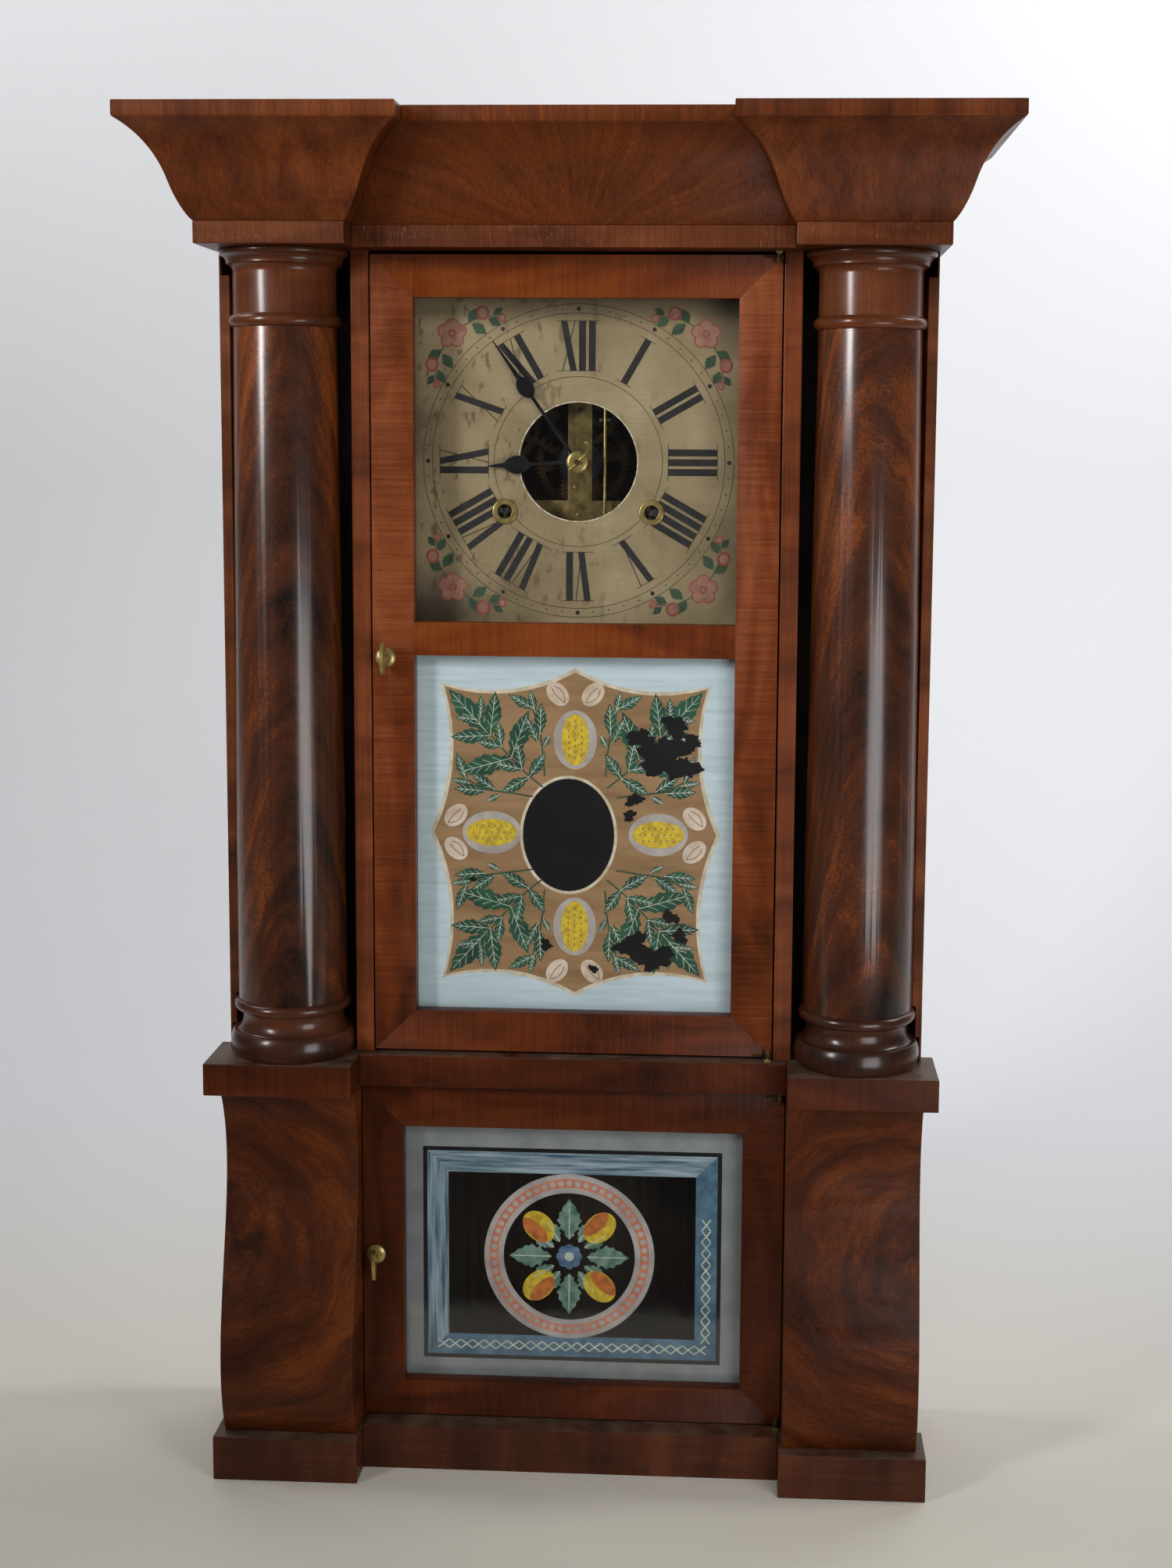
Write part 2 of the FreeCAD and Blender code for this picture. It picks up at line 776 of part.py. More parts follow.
# Latches: an oval thumb piece on the upper door, a drop-shaped one on the lower
upper_latch, upper_rosette_front = latch_body(
    upper_latch_x, upper_latch_z, upper_tongue_front, upper_tongue_length, -1,
)
blade_middle = door_y + upper_rosette_front - latch_reach / 2
blade_half_depth = latch_reach / 2
oval = edges_of(
    (-latch_blade_half_height, 0),
    [
        (0, blade_half_depth, latch_blade_half_height, 0),
        (0, -blade_half_depth, -latch_blade_half_height, 0),
    ],
    lambda up, out: Vector(-latch_blade_thick / 2, blade_middle - out, upper_latch_z + up),
)
save("upper_latch", [joined(upper_latch, blade(oval, upper_latch_x))])
lower_latch, lower_rosette_front = latch_body(
    lower_latch_x, lower_latch_z, lower_tongue_front, lower_tongue_length, 1,
)
drop_middle = door_y + lower_rosette_front - latch_reach / 2 + latch_drop_r / 2
drop = edges_of(
    (0, -latch_drop_r),
    [
        (latch_drop_r, 0, 0, latch_drop_r),
        (-latch_drop_length, latch_drop_r * 0.35),
        (-latch_drop_length, -latch_drop_r * 0.1),
        (0, -latch_drop_r),
    ],
    lambda up, out: Vector(-latch_blade_thick / 2, drop_middle - out, lower_latch_z + up),
)
save("lower_latch", [joined(lower_latch, blade(drop, lower_latch_x))])

# Dial board with its centre hole and winding holes, on cleats fixed to the posts
winding_z = dial_z - winding_drop
dial_half = post_inner - dial_side_gap
dial_bottom = dial_z - dial_below
dial_top = dial_z + dial_above
dial_board = box(-dial_half, dial_half, dial_depth, dial_back, dial_bottom, dial_top)
dial_holes = [rod(dial_hole_r, 0, dial_z, dial_depth, dial_back)]
for side in (-1, 1):
    hole_r = grommet_shank_r + grommet_shank_clear
    dial_holes.append(rod(hole_r, side * winding_spread, winding_z, dial_depth, dial_back))
save("dial_board", [without(dial_board, *dial_holes)])
cleat = box(
    post_inner - cleat_width, post_inner, dial_back, dial_back + cleat_thick,
    dial_bottom + cleat_inset, dial_top - cleat_inset,
)
save("dial_cleats", both_sides(cleat))
grommet = turned_level(
    (grommet_hole_r, -grommet_flange),
    [
        (grommet_r - grommet_flange, -grommet_flange),
        (grommet_r - grommet_flange * 0.3, -grommet_flange * 0.7, grommet_r, 0),
        (grommet_shank_r, 0),
        (grommet_shank_r, dial_thick),
        (grommet_hole_r, dial_thick),
        (grommet_hole_r, -grommet_flange),
    ],
    winding_spread, dial_depth, winding_z,
)
save("winding_grommets", both_sides(grommet))

# Arbor places, in (x, z)
centre = (0.0, dial_z)
time_arbor = (winding_spread, winding_z)
strike_arbor = (-winding_spread, winding_z)
great_distance = math.hypot(winding_spread, winding_drop)
great_module = 2 * great_distance / (great_teeth + pinion_pins)


def away(point, distance, degrees):
    """A place at a distance from another, at an angle from the X direction."""
    turn = math.radians(degrees)
    return (point[0] + distance * math.cos(turn), point[1] + distance * math.sin(turn))


def bearing(start, end):
    """The angle from one arbor to another, in degrees."""
    return math.degrees(math.atan2(end[1] - start[1], end[0] - start[0]))


third_arbor = away(centre, train_module * (centre_teeth + pinion_pins) / 2, 90)
escape_arbor = away(third_arbor, train_module * (third_teeth + pinion_pins) / 2, escape_angle)
pin_arbor = away(strike_arbor, great_distance, strike_angle)
fly_arbor = away(pin_arbor, train_module * (pin_wheel_teeth + pinion_pins) / 2, 90)
hammer_arbor = (pin_arbor[0] - hammer_offset, pin_arbor[1])
verge_distance = escape_r / math.cos(math.radians(verge_span / 2))
verge_arbor = away(escape_arbor, verge_distance, 90)
suspension = away(verge_arbor, suspension_rise, 90)
minute_stud = away(centre, motion_distance, -90)

# Straps of the two plates, riveted into one frame each
great_tip_r = great_module * (great_teeth / 2 + tooth_addendum)
pillar_ring = great_tip_r + pillar_clear + pillar_r
pillar_drop = winding_drop + math.sqrt(pillar_ring ** 2 - winding_spread ** 2)
lower_pillar = (0.0, dial_z - pillar_drop)
left_pillar = (fly_arbor[0] - fly_r - pillar_clear * 3 - pillar_r, escape_arbor[1])
right_pillar = (escape_arbor[0] + escape_r + pillar_clear * 3 + pillar_r + tab_width / 2, escape_arbor[1])
pillars = (left_pillar, right_pillar, lower_pillar)


def strap(x0, x1, z0, z1, depth):
    """One brass strap of a plate."""
    return box(x0, x1, depth, depth + plate_thick, z0, z1)


def plate_straps(depth):
    """The frame of straps that carries the arbors at one end."""
    half = strap_width / 2
    centre_half = centre_strap_width / 2
    tab = tab_width / 2
    top_z = escape_arbor[1]
    left_top = max(top_z, fly_arbor[1]) + half
    return joined(
        strap(-centre_half, centre_half, lower_pillar[1] - half, top_z + half, depth),
        strap(-winding_spread - half * 2, winding_spread + half * 2, winding_z - half, winding_z + half, depth),
        strap(left_pillar[0] - half, right_pillar[0] + half, top_z - half, top_z + half, depth),
        strap(pin_arbor[0] - tab, pin_arbor[0] + tab, winding_z, left_top, depth),
        strap(hammer_arbor[0] - tab, pin_arbor[0], pin_arbor[1] - tab, pin_arbor[1] + tab, depth),
        strap(escape_arbor[0] - tab, escape_arbor[0] + tab, top_z, suspension[1] + tab, depth),
    )


def arbor_holes(depth):
    """The pivot holes that both plates share."""
    small = arbor_r + running_clear
    large = winding_arbor_r + running_clear
    holes = [rod(large, x, z, depth, depth + plate_thick) for x, z in (time_arbor, strike_arbor)]
    for x, z in (third_arbor, escape_arbor, pin_arbor, fly_arbor, hammer_arbor, verge_arbor):
        holes.append(rod(small, x, z, depth, depth + plate_thick))
    return holes


hour_wheel_front = plate_back + hour_wheel_set
minute_wheel_front = plate_back + minute_wheel_set
minute_wheel_back = minute_wheel_front + wheel_thick
centre_hole = rod(hour_pipe_r + running_clear, *centre, plate_front, plate_back)
stud = rod(arbor_r, *minute_stud, plate_front, minute_wheel_back + running_clear)
suspension_post = rod(suspension_r, *suspension, pendulum_depth - pendulum_eye_half, plate_front)
front_plate = without(plate_straps(plate_front), centre_hole, *arbor_holes(plate_front))
save("front_plate", [joined(front_plate, stud, suspension_post)])
centre_pivot = rod(arbor_r + running_clear, *centre, rear_plate_front, rear_plate_back)
back_plate = without(plate_straps(rear_plate_front), centre_pivot, *arbor_holes(rear_plate_front))
save("back_plate", [back_plate])
save("plate_pillars", [rod(pillar_r, *place, plate_back, rear_plate_front) for place in pillars])

# Wooden rails between the back plate and the back board
rail_half = strap_width / 2
upper_rail = box(
    left_pillar[0] - rail_half, right_pillar[0] + rail_half, rear_plate_back, back_front,
    escape_arbor[1] - rail_half, escape_arbor[1] + rail_half,
)
lower_rail = box(
    -winding_spread - strap_width, winding_spread + strap_width, rear_plate_back, back_front,
    winding_z - rail_half, winding_z + rail_half,
)
save("movement_rails", [upper_rail, lower_rail])


def toothed_disc(teeth, module, form, phase, place, depth, thick):
    """A wheel blank with straight tapered teeth, one tooth centred on the phase angle."""
    addendum, dedendum, root_half, tip_half = form
    pitch_r = module * teeth / 2
    pitch = 360.0 / teeth
    outline = []
    for count in range(teeth):
        middle = phase + count * pitch
        outline.append(away(place, pitch_r - dedendum * module, middle - root_half * pitch))
        outline.append(away(place, pitch_r + addendum * module, middle - tip_half * pitch))
        outline.append(away(place, pitch_r + addendum * module, middle + tip_half * pitch))
        outline.append(away(place, pitch_r - dedendum * module, middle + root_half * pitch))
    return slab(outline, depth, depth + thick)


wheel_dedendum = pin_share * math.pi + tooth_bottom_clear
wheel_form = (tooth_addendum, wheel_dedendum, tooth_root_half, tooth_tip_half)
leaf_form = (leaf_addendum, leaf_dedendum, leaf_root_half, leaf_tip_half)


def crossed(disc, outer_r, hub_r, place, depth, thick):
    """A wheel with four windows cut between its hub and its rim."""
    middle_r = (outer_r + hub_r) / 2
    window = 90.0 - math.degrees(spoke_width / middle_r)
    tools = []
    for quarter in range(4):
        ring = Part.makeCylinder(outer_r, thick, Vector(0, 0, 0), Vector(0, 0, 1), window)
        ring = ring.cut(Part.makeCylinder(hub_r, thick))
        ring.rotate(Vector(0, 0, 0), Vector(0, 0, 1), 90.0 * quarter)
        ring.rotate(Vector(0, 0, 0), Vector(1, 0, 0), -90)
        tools.append(ring.translated(Vector(place[0], door_y + depth, place[1])))
    return disc.cut(tools)


def train_wheel(teeth, module, mate, place, depth, thick, hub_r):
    """A crossed wheel with a gap between teeth facing the pinion that it drives."""
    phase = bearing(place, mate) + 180.0 / teeth
    disc = toothed_disc(teeth, module, wheel_form, phase, place, depth, thick)
    rim_inner = module * (teeth / 2 - wheel_dedendum) - rim_width
    return crossed(disc, rim_inner, hub_r, place, depth, thick)


def lantern_pinion(module, mate, place, depth, thick):
    """Round pins between two shrouds, with one pin facing the wheel that drives it."""
    pitch_r = module * pinion_pins / 2
    pin_r = pin_share * math.pi * module
    start = depth - pinion_side_gap
    end = depth + thick + pinion_side_gap
    shroud_r = pitch_r + pin_r + shroud_rim
    solids = [
        rod(shroud_r, *place, start - shroud_thick, start),
        rod(shroud_r, *place, end, end + shroud_thick),
    ]
    for count in range(pinion_pins):
        spot = away(place, pitch_r, bearing(place, mate) + count * 360.0 / pinion_pins)
        solids.append(rod(pin_r, *spot, start, end))
    return solids


wheel_hub_r = arbor_r * 2.6
great_hub_r = winding_arbor_r * 2.4
strike_great_front = plate_back + strike_great_set
time_great_front = plate_back + time_great_set
centre_front = plate_back + centre_set
third_front = plate_back + third_set
escape_front = plate_back + escape_set
pin_wheel_front = plate_back + pin_wheel_set
small_start = plate_front + arbor_end_gap


def great_wheel(place, mate, depth):
    """A great wheel that turns on its winding arbor, held to it by a click."""
    wheel = train_wheel(great_teeth, great_module, mate, place, depth, great_thick, great_hub_r)
    return without(wheel, rod(winding_arbor_r + running_clear, *place, depth, depth + great_thick))


def winding_drum(place, start, length):
    """A grooveless cord drum on its arbor, with a square in front for the key."""
    end = start + length
    half = winding_square / 2
    square_end = plate_front - arbor_end_gap
    x, z = place
    return joined(
        rod(winding_arbor_r, *place, square_end, arbor_end),
        box(x - half, x + half, winding_square_depth, square_end, z - half, z + half),
        rod(drum_r, *place, start, end),
        rod(drum_flange_r, *place, start, start + drum_flange_thick),
        rod(drum_flange_r, *place, end - drum_flange_thick, end),
    )


# Going train
save("time_great_wheel", [great_wheel(time_arbor, centre, time_great_front)])
time_drum_start = time_great_front - drum_gap - time_drum_length
save("time_drum", [winding_drum(time_arbor, time_drum_start, time_drum_length)])
centre_wheel = joined(
    train_wheel(centre_teeth, train_module, third_arbor, centre, centre_front, wheel_thick, wheel_hub_r),
    rod(arbor_r, *centre, collet_front - arbor_tip, arbor_end),
    *lantern_pinion(great_module, time_arbor, centre, time_great_front, great_thick),
)
save("centre_wheel", [centre_wheel])
third_wheel = joined(
    train_wheel(third_teeth, train_module, escape_arbor, third_arbor, third_front, wheel_thick, wheel_hub_r),
    rod(arbor_r, *third_arbor, small_start, arbor_end),
    *lantern_pinion(train_module, centre, third_arbor, centre_front, wheel_thick),
)
save("third_wheel", [third_wheel])
escape_outline = []
escape_pitch = 360.0 / escape_teeth
escape_root_r = escape_r - 2.2
for tooth in range(escape_teeth):
    tooth_angle = tooth * escape_pitch
    escape_outline.append(away(escape_arbor, escape_root_r, tooth_angle))
    escape_outline.append(away(escape_arbor, escape_r, tooth_angle + escape_pitch * 0.15))
    escape_outline.append(away(escape_arbor, escape_r, tooth_angle + escape_pitch * 0.25))
escape_disc = slab(escape_outline, escape_front, escape_front + wheel_thick)
escape_disc = crossed(
    escape_disc, escape_root_r - rim_width / 2, wheel_hub_r, escape_arbor, escape_front, wheel_thick,
)
escape_wheel = joined(
    escape_disc,
    rod(arbor_r, *escape_arbor, small_start, arbor_end),
    *lantern_pinion(train_module, third_arbor, escape_arbor, third_front, wheel_thick),
)
save("escape_wheel", [escape_wheel])

# Verge above the escape wheel, with the crutch wire hanging before the plate
verge_front = escape_front - (verge_thick - wheel_thick) / 2
verge_arms = []
for side in (-1, 1):
    reach_angle = 90 - side * verge_span / 2
    pallet = away(escape_arbor, escape_r + verge_clear, reach_angle)
    arm_top = away(verge_arbor, verge_arm_half, reach_angle)
    arm_end = away(pallet, verge_arm_half, reach_angle)
    verge_arms.append(slab([verge_arbor, arm_top, arm_end, pallet], verge_front, verge_front + verge_thick))
fork_z = verge_arbor[1] - crutch_length
fork_half = pendulum_rod_r + fork_clear + fork_bar_half
fork_reach = fork_half + fork_bar_half
crutch_y = door_y + crutch_depth
crutch_wire = Part.makeCylinder(crutch_wire_r, crutch_length, Vector(verge_arbor[0], crutch_y, fork_z))
fork_bar = box(
    verge_arbor[0] - fork_reach, verge_arbor[0] + fork_reach,
    crutch_depth - fork_bar_half, crutch_depth + fork_bar_half, fork_z - fork_bar_half, fork_z + fork_bar_half,
)
fork_gap = box(
    verge_arbor[0] - fork_half + fork_bar_half, verge_arbor[0] + fork_half - fork_bar_half,
    pendulum_depth - pendulum_rod_r, crutch_depth - fork_bar_half,
    fork_z - fork_bar_half, fork_z + fork_bar_half,
)
fork_block = box(
    verge_arbor[0] - fork_reach, verge_arbor[0] + fork_reach, pendulum_depth - pendulum_rod_r,
    crutch_depth, fork_z - fork_bar_half, fork_z + fork_bar_half,
)
fork = without(joined(fork_bar, fork_block), fork_gap)
verge = joined(
    *verge_arms,
    rod(verge_hub_r, *verge_arbor, verge_front, verge_front + verge_thick),
    rod(arbor_r, *verge_arbor, crutch_depth - crutch_wire_r * 1.4, arbor_end),
    crutch_wire,
    fork,
)
save("verge_crutch", [verge])

# Pendulum: a rod hung by an eye on the suspension post, and a lens-shaped bob
bob_z = suspension[1] - pendulum_length
pendulum_y = door_y + pendulum_depth
pendulum_rod = Part.makeCylinder(
    pendulum_rod_r, pendulum_length - bob_r / 2, Vector(suspension[0], pendulum_y, bob_z + bob_r / 2),
)
eye_front = pendulum_depth - pendulum_eye_half
eye_back = pendulum_depth + pendulum_eye_half
pendulum_eye = rod(suspension_r + pendulum_eye_wall, *suspension, eye_front, eye_back)
eye_hole = rod(suspension_r + running_clear, *suspension, eye_front, eye_back)
bob_curve = (bob_r ** 2 + (bob_thick / 2) ** 2) / bob_thick
bob_shoulder = bob_thick / 2 - bob_curve + math.sqrt(bob_curve ** 2 - (bob_r / 2) ** 2)
bob = turned_level(
    (0, -bob_thick / 2),
    [
        (bob_r / 2, -bob_shoulder, bob_r, 0),
        (bob_r / 2, bob_shoulder, 0, bob_thick / 2),
        (0, -bob_thick / 2),
    ],
    suspension[0], pendulum_depth, bob_z,
)
save("pendulum", [without(joined(pendulum_rod, pendulum_eye, bob), eye_hole)])

# Strike train
save("strike_great_wheel", [great_wheel(strike_arbor, pin_arbor, strike_great_front)])
strike_drum_start = strike_great_front + great_thick + drum_gap
save("strike_drum", [winding_drum(strike_arbor, strike_drum_start, strike_drum_length)])
pin_wheel = joined(
    train_wheel(pin_wheel_teeth, train_module, fly_arbor, pin_arbor, pin_wheel_front, wheel_thick, wheel_hub_r),
    rod(arbor_r, *pin_arbor, small_start, arbor_end),
    *lantern_pinion(great_module, strike_arbor, pin_arbor, strike_great_front, great_thick),
)
save("pin_wheel", [pin_wheel])
fly_start = pin_wheel_front + wheel_thick + pinion_side_gap + shroud_thick + drum_gap
fly = joined(
    box(
        fly_arbor[0] - fly_r, fly_arbor[0] + fly_r, fly_start, fly_start + fly_width,
        fly_arbor[1] - fly_vane / 2, fly_arbor[1] + fly_vane / 2,
    ),
    rod(arbor_r, *fly_arbor, small_start, arbor_end),
    *lantern_pinion(train_module, pin_arbor, fly_arbor, pin_wheel_front, wheel_thick),
)
save("fly", [fly])

# Bell on its post, and the hammer that stands just clear of it
bell_place = (bell_side, dial_z - bell_drop)
bell_mouth = back_front - bell_gap
bell_crown = bell_mouth - bell_height
bell = turned_level(
    (bell_post_r, 0),
    [
        (bell_r * 0.72, bell_height * 0.28, bell_r, bell_height),
        (bell_r - bell_wall, bell_height),
        (bell_r * 0.72 - bell_wall, bell_height * 0.28 + bell_wall, bell_post_r, bell_wall),
        (bell_post_r, 0),
    ],
    bell_place[0], bell_crown, bell_place[1],
)
bell_post = rod(bell_post_r, *bell_place, bell_crown - bell_wall, back_front)
save("bell", [bell, bell_post])
head_x = bell_place[0] - bell_r - hammer_gap - hammer_head_length / 2
head_depth = bell_mouth - hammer_head_r
head_y = door_y + head_depth
hammer_from = Vector(hammer_arbor[0], head_y, hammer_arbor[1])
hammer_to = Vector(head_x, head_y, bell_place[1])
hammer_way = hammer_to - hammer_from
hammer_wire = Part.makeCylinder(hammer_wire_r, hammer_way.Length, hammer_from, hammer_way)
hammer_head = Part.makeCylinder(
    hammer_head_r, hammer_head_length,
    Vector(head_x - hammer_head_length / 2, head_y, bell_place[1]), Vector(1, 0, 0),
)
hammer_tail_bar = box(
    hammer_arbor[0], hammer_arbor[0] + hammer_tail, head_depth - hammer_wire_r, head_depth + hammer_wire_r,
    hammer_arbor[1] - hammer_wire_r, hammer_arbor[1] + hammer_wire_r,
)
hammer = joined(
    rod(arbor_r, *hammer_arbor, small_start, arbor_end),
    rod(hammer_hub_r, *hammer_arbor, head_depth - hammer_hub_r, head_depth + hammer_hub_r),
    hammer_wire,
    hammer_head,
    hammer_tail_bar,
)
save("hammer", [hammer])


def hand_blade(length, bulb_at, bulb_half, angle, front):
    """A flat hand with a round bulb and a long point, turned clockwise from twelve."""
    shank = bulb_half * 0.2
    tip = bulb_half * 0.06
    low = bulb_at - bulb_half * 1.2
    high = bulb_at + bulb_half * 1.7
    edges = edges_of(
        (-shank, 0),
        [
            (shank, 0),
            (shank, low),
            (bulb_half, bulb_at, shank * 1.5, high),
            (tip, length),
            (-tip, length),
            (-shank * 1.5, high),
            (-bulb_half, bulb_at, -shank, low),
            (-shank, 0),
        ],
        lambda side, up: Vector(side, 0, up),
    )
    hand = Part.Face(Part.Wire(edges)).extrude(Vector(0, hand_thick, 0))
    hand.rotate(Vector(0, 0, 0), Vector(0, 1, 0), angle)
    return hand.translated(Vector(centre[0], door_y + front, centre[1]))


# Hands with their pipes, and the motion work behind the front plate
leaf_module = 2 * motion_distance / (cannon_teeth + minute_wheel_teeth)
pinion_module = 2 * motion_distance / (minute_pinion_teeth + hour_wheel_teeth)
down = bearing(centre, minute_stud)
up = bearing(minute_stud, centre)
cannon_end = minute_wheel_back + pinion_side_gap
cannon_pinion = toothed_disc(
    cannon_teeth, leaf_module, leaf_form, down, centre,
    minute_wheel_front - running_clear, wheel_thick + 2 * running_clear,
)
minute_hand = joined(
    hand_blade(minute_length, minute_bulb_at, minute_bulb_half, minute_angle, minute_front),
    rod(hand_boss_r, *centre, minute_front, minute_front + hand_thick),
    rod(cannon_r, *centre, minute_front, cannon_end),
    cannon_pinion,
)
cannon_bore = rod(arbor_r + running_clear, *centre, minute_front, cannon_end)
save("minute_hand", [without(minute_hand, cannon_bore)])
hour_end = hour_wheel_front + wheel_thick
hour_wheel = toothed_disc(
    hour_wheel_teeth, pinion_module, leaf_form, down + 180.0 / hour_wheel_teeth, centre,
    hour_wheel_front, wheel_thick,
)
hour_hand = joined(
    hand_blade(hour_length, hour_bulb_at, hour_bulb_half, hour_angle, hour_front),
    rod(hand_boss_r, *centre, hour_front, hour_front + hand_thick),
    rod(hour_pipe_r, *centre, hour_front, hour_end),
    hour_wheel,
)
hour_bore = rod(cannon_r + running_clear, *centre, hour_front, hour_end)
save("hour_hand", [without(hour_hand, hour_bore)])
minute_disc = toothed_disc(
    minute_wheel_teeth, leaf_module, leaf_form, up + 180.0 / minute_wheel_teeth, minute_stud,
    minute_wheel_front, wheel_thick,
)
minute_pinion = toothed_disc(
    minute_pinion_teeth, pinion_module, leaf_form, up, minute_stud,
    hour_wheel_front, minute_wheel_front - hour_wheel_front,
)
minute_bore = rod(arbor_r + running_clear, *minute_stud, hour_wheel_front, minute_wheel_back)
save("minute_wheel", [without(joined(minute_disc, minute_pinion), minute_bore)])
collet_disc = turned_level(
    (0, 0),
    [
        (collet_r, 0),
        (collet_r, -collet_thick * 0.4),
        (collet_r * 0.72, -collet_thick * 0.85, arbor_r * 1.6, -collet_thick * 0.7),
        (0, -collet_thick * 0.7),
        (0, 0),
    ],
    centre[0], minute_front, centre[1],
)
collet_pin = Part.makeCylinder(
    collet_pin_r, collet_pin_length, Vector(-collet_pin_length / 2, 0, 0), Vector(1, 0, 0),
)
collet_pin.rotate(Vector(0, 0, 0), Vector(0, 1, 0), -45)
collet_pin = collet_pin.translated(Vector(centre[0], door_y + collet_front, centre[1]))
collet_bore = rod(arbor_r + running_clear, *centre, collet_front - arbor_tip, minute_front)
save("hand_collet", [without(joined(collet_disc, collet_pin), collet_bore)])

# Weights in the channels, and the pulleys on the top board above them
weight_x = (post_outer + side_inner) / 2
weight_half = channel_width / 2 - weight_side_gap
weight_front = panel_back + weight_depth_gap
weight_back = back_front - weight_depth_gap
weight_middle = (weight_front + weight_back) / 2
weight_top = foot_height + weight_height
weight_block = box(
    weight_x - weight_half, weight_x + weight_half, weight_front, weight_back, foot_height, weight_top,
)
upright_edges = [edge for edge in weight_block.Edges if abs(edge.tangentAt(edge.FirstParameter).z) > 0.9]
weight_block = weight_block.makeFillet(weight_edge, upright_edges)
weight_eye = Part.makeTorus(
    weight_eye_r, weight_eye_wire,
    Vector(weight_x, door_y + weight_middle, weight_top + weight_eye_r - weight_eye_wire), Vector(0, 1, 0),
)
right_weight = joined(weight_block, weight_eye)
save("right_weight", [right_weight])
save("left_weight", [mirrored(right_weight)])
pulley_x = weight_x - pulley_groove_r
top_board_top = cornice_bottom + top_thick
pulley_z = top_board_top + pulley_floor_gap + pulley_r
pulley_half = pulley_thick / 2
pulley = turned_level(
    (pulley_pin_r + running_clear, -pulley_half),
    [
        (pulley_r, -pulley_half),
        (pulley_r, -pulley_half * 0.7),
        (pulley_groove_r, 0),
        (pulley_r, pulley_half * 0.7),
        (pulley_r, pulley_half),
        (pulley_pin_r + running_clear, pulley_half),
        (pulley_pin_r + running_clear, -pulley_half),
    ],
    pulley_x, weight_middle, pulley_z,
)
save("right_pulley", [pulley])
save("left_pulley", [mirrored(pulley)])
ear_start = pulley_half + ear_gap
ears = []
for side in (-1, 1):
    near = weight_middle + side * ear_start
    far = near + side * ear_thick
    ears.append(box(
        pulley_x - ear_half_width, pulley_x + ear_half_width, min(near, far), max(near, far),
        top_board_top, pulley_z + ear_half_width,
    ))
pin_reach = ear_start + ear_thick
pulley_pin = rod(pulley_pin_r, pulley_x, pulley_z, weight_middle - pin_reach, weight_middle + pin_reach)
save("pulley_brackets", both_sides(joined(*ears, pulley_pin)))
top_board = box(
    -capital_outer + cornice_wall, capital_outer - cornice_wall,
    frieze_front + cornice_wall, case_depth, cornice_bottom, top_board_top,
)
cord_slot = box(
    pulley_x - pulley_groove_r - slot_margin, pulley_x + pulley_groove_r + slot_margin,
    weight_middle - slot_half_width, weight_middle + slot_half_width, cornice_bottom, top_board_top,
)
save("top_board", [without(top_board, *both_sides(cord_slot))])
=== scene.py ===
import json
import math

import bmesh
import bpy
from mathutils import Matrix, Vector


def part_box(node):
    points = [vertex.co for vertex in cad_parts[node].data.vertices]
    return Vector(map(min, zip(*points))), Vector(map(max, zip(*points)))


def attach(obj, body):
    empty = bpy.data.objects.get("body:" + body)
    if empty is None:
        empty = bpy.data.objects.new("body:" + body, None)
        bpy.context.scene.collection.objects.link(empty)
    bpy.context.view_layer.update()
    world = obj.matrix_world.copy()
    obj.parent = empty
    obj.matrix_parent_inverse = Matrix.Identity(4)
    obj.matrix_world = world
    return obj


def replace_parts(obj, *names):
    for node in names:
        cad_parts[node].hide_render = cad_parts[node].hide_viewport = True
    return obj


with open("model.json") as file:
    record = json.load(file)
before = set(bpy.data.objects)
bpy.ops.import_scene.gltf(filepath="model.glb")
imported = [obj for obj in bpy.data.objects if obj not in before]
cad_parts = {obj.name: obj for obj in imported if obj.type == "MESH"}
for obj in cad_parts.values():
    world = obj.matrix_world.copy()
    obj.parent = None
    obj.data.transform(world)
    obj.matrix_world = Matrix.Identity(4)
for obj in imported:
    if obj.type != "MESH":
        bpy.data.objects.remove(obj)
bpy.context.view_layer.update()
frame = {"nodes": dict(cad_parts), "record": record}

# Carcase: top and bottom boards, dial cleats and movement rails, all of sawn pine.
# The boards are nailed together and left bare; they are brown with blotches of soot, the dial
# cleats dark brown.


def srgb(red, green, blue):
    """A colour as the eye reads it, turned into the renderer's linear scale."""
    linear = [(part / 255 / 12.92) if part < 11 else ((part / 255 + 0.055) / 1.055) ** 2.4
              for part in (red, green, blue)]
    return (*linear, 1.0)


def feed(node, inputs):
    """Give a node's inputs their values, or link them to other nodes' sockets."""
    for socket, value in inputs.items():
        if isinstance(value, bpy.types.NodeSocket):
            node.id_data.links.new(value, node.inputs[socket])
        else:
            node.inputs[socket].default_value = value


def shader_node(tree, kind, inputs=None, **settings):
    """One new shader node, set and fed."""
    made = tree.nodes.new("ShaderNode" + kind)
    for setting, value in settings.items():
        setattr(made, setting, value)
    feed(made, inputs or {})
    return made


def maths(operation, *values):
    """The result of one arithmetic step on sockets and numbers."""
    tree = next(value.id_data for value in values if isinstance(value, bpy.types.NodeSocket))
    return shader_node(tree, "Math", dict(enumerate(values)), operation=operation).outputs[0]


def weigh(*parts, start=0.0):
    """A sum of values, each given with its weight."""
    total = start
    for value, weight in parts:
        total = maths("MULTIPLY_ADD", value, weight, total)
    return total


def tint(share, first, second):
    """Two colours mixed by a share of the second."""
    first, second = [colour if isinstance(colour, bpy.types.NodeSocket) else srgb(*colour)
                     for colour in (first, second)]
    mixed = shader_node(share.id_data, "Mix", {0: share, 6: first, 7: second}, data_type="RGBA")
    return mixed.outputs[2]


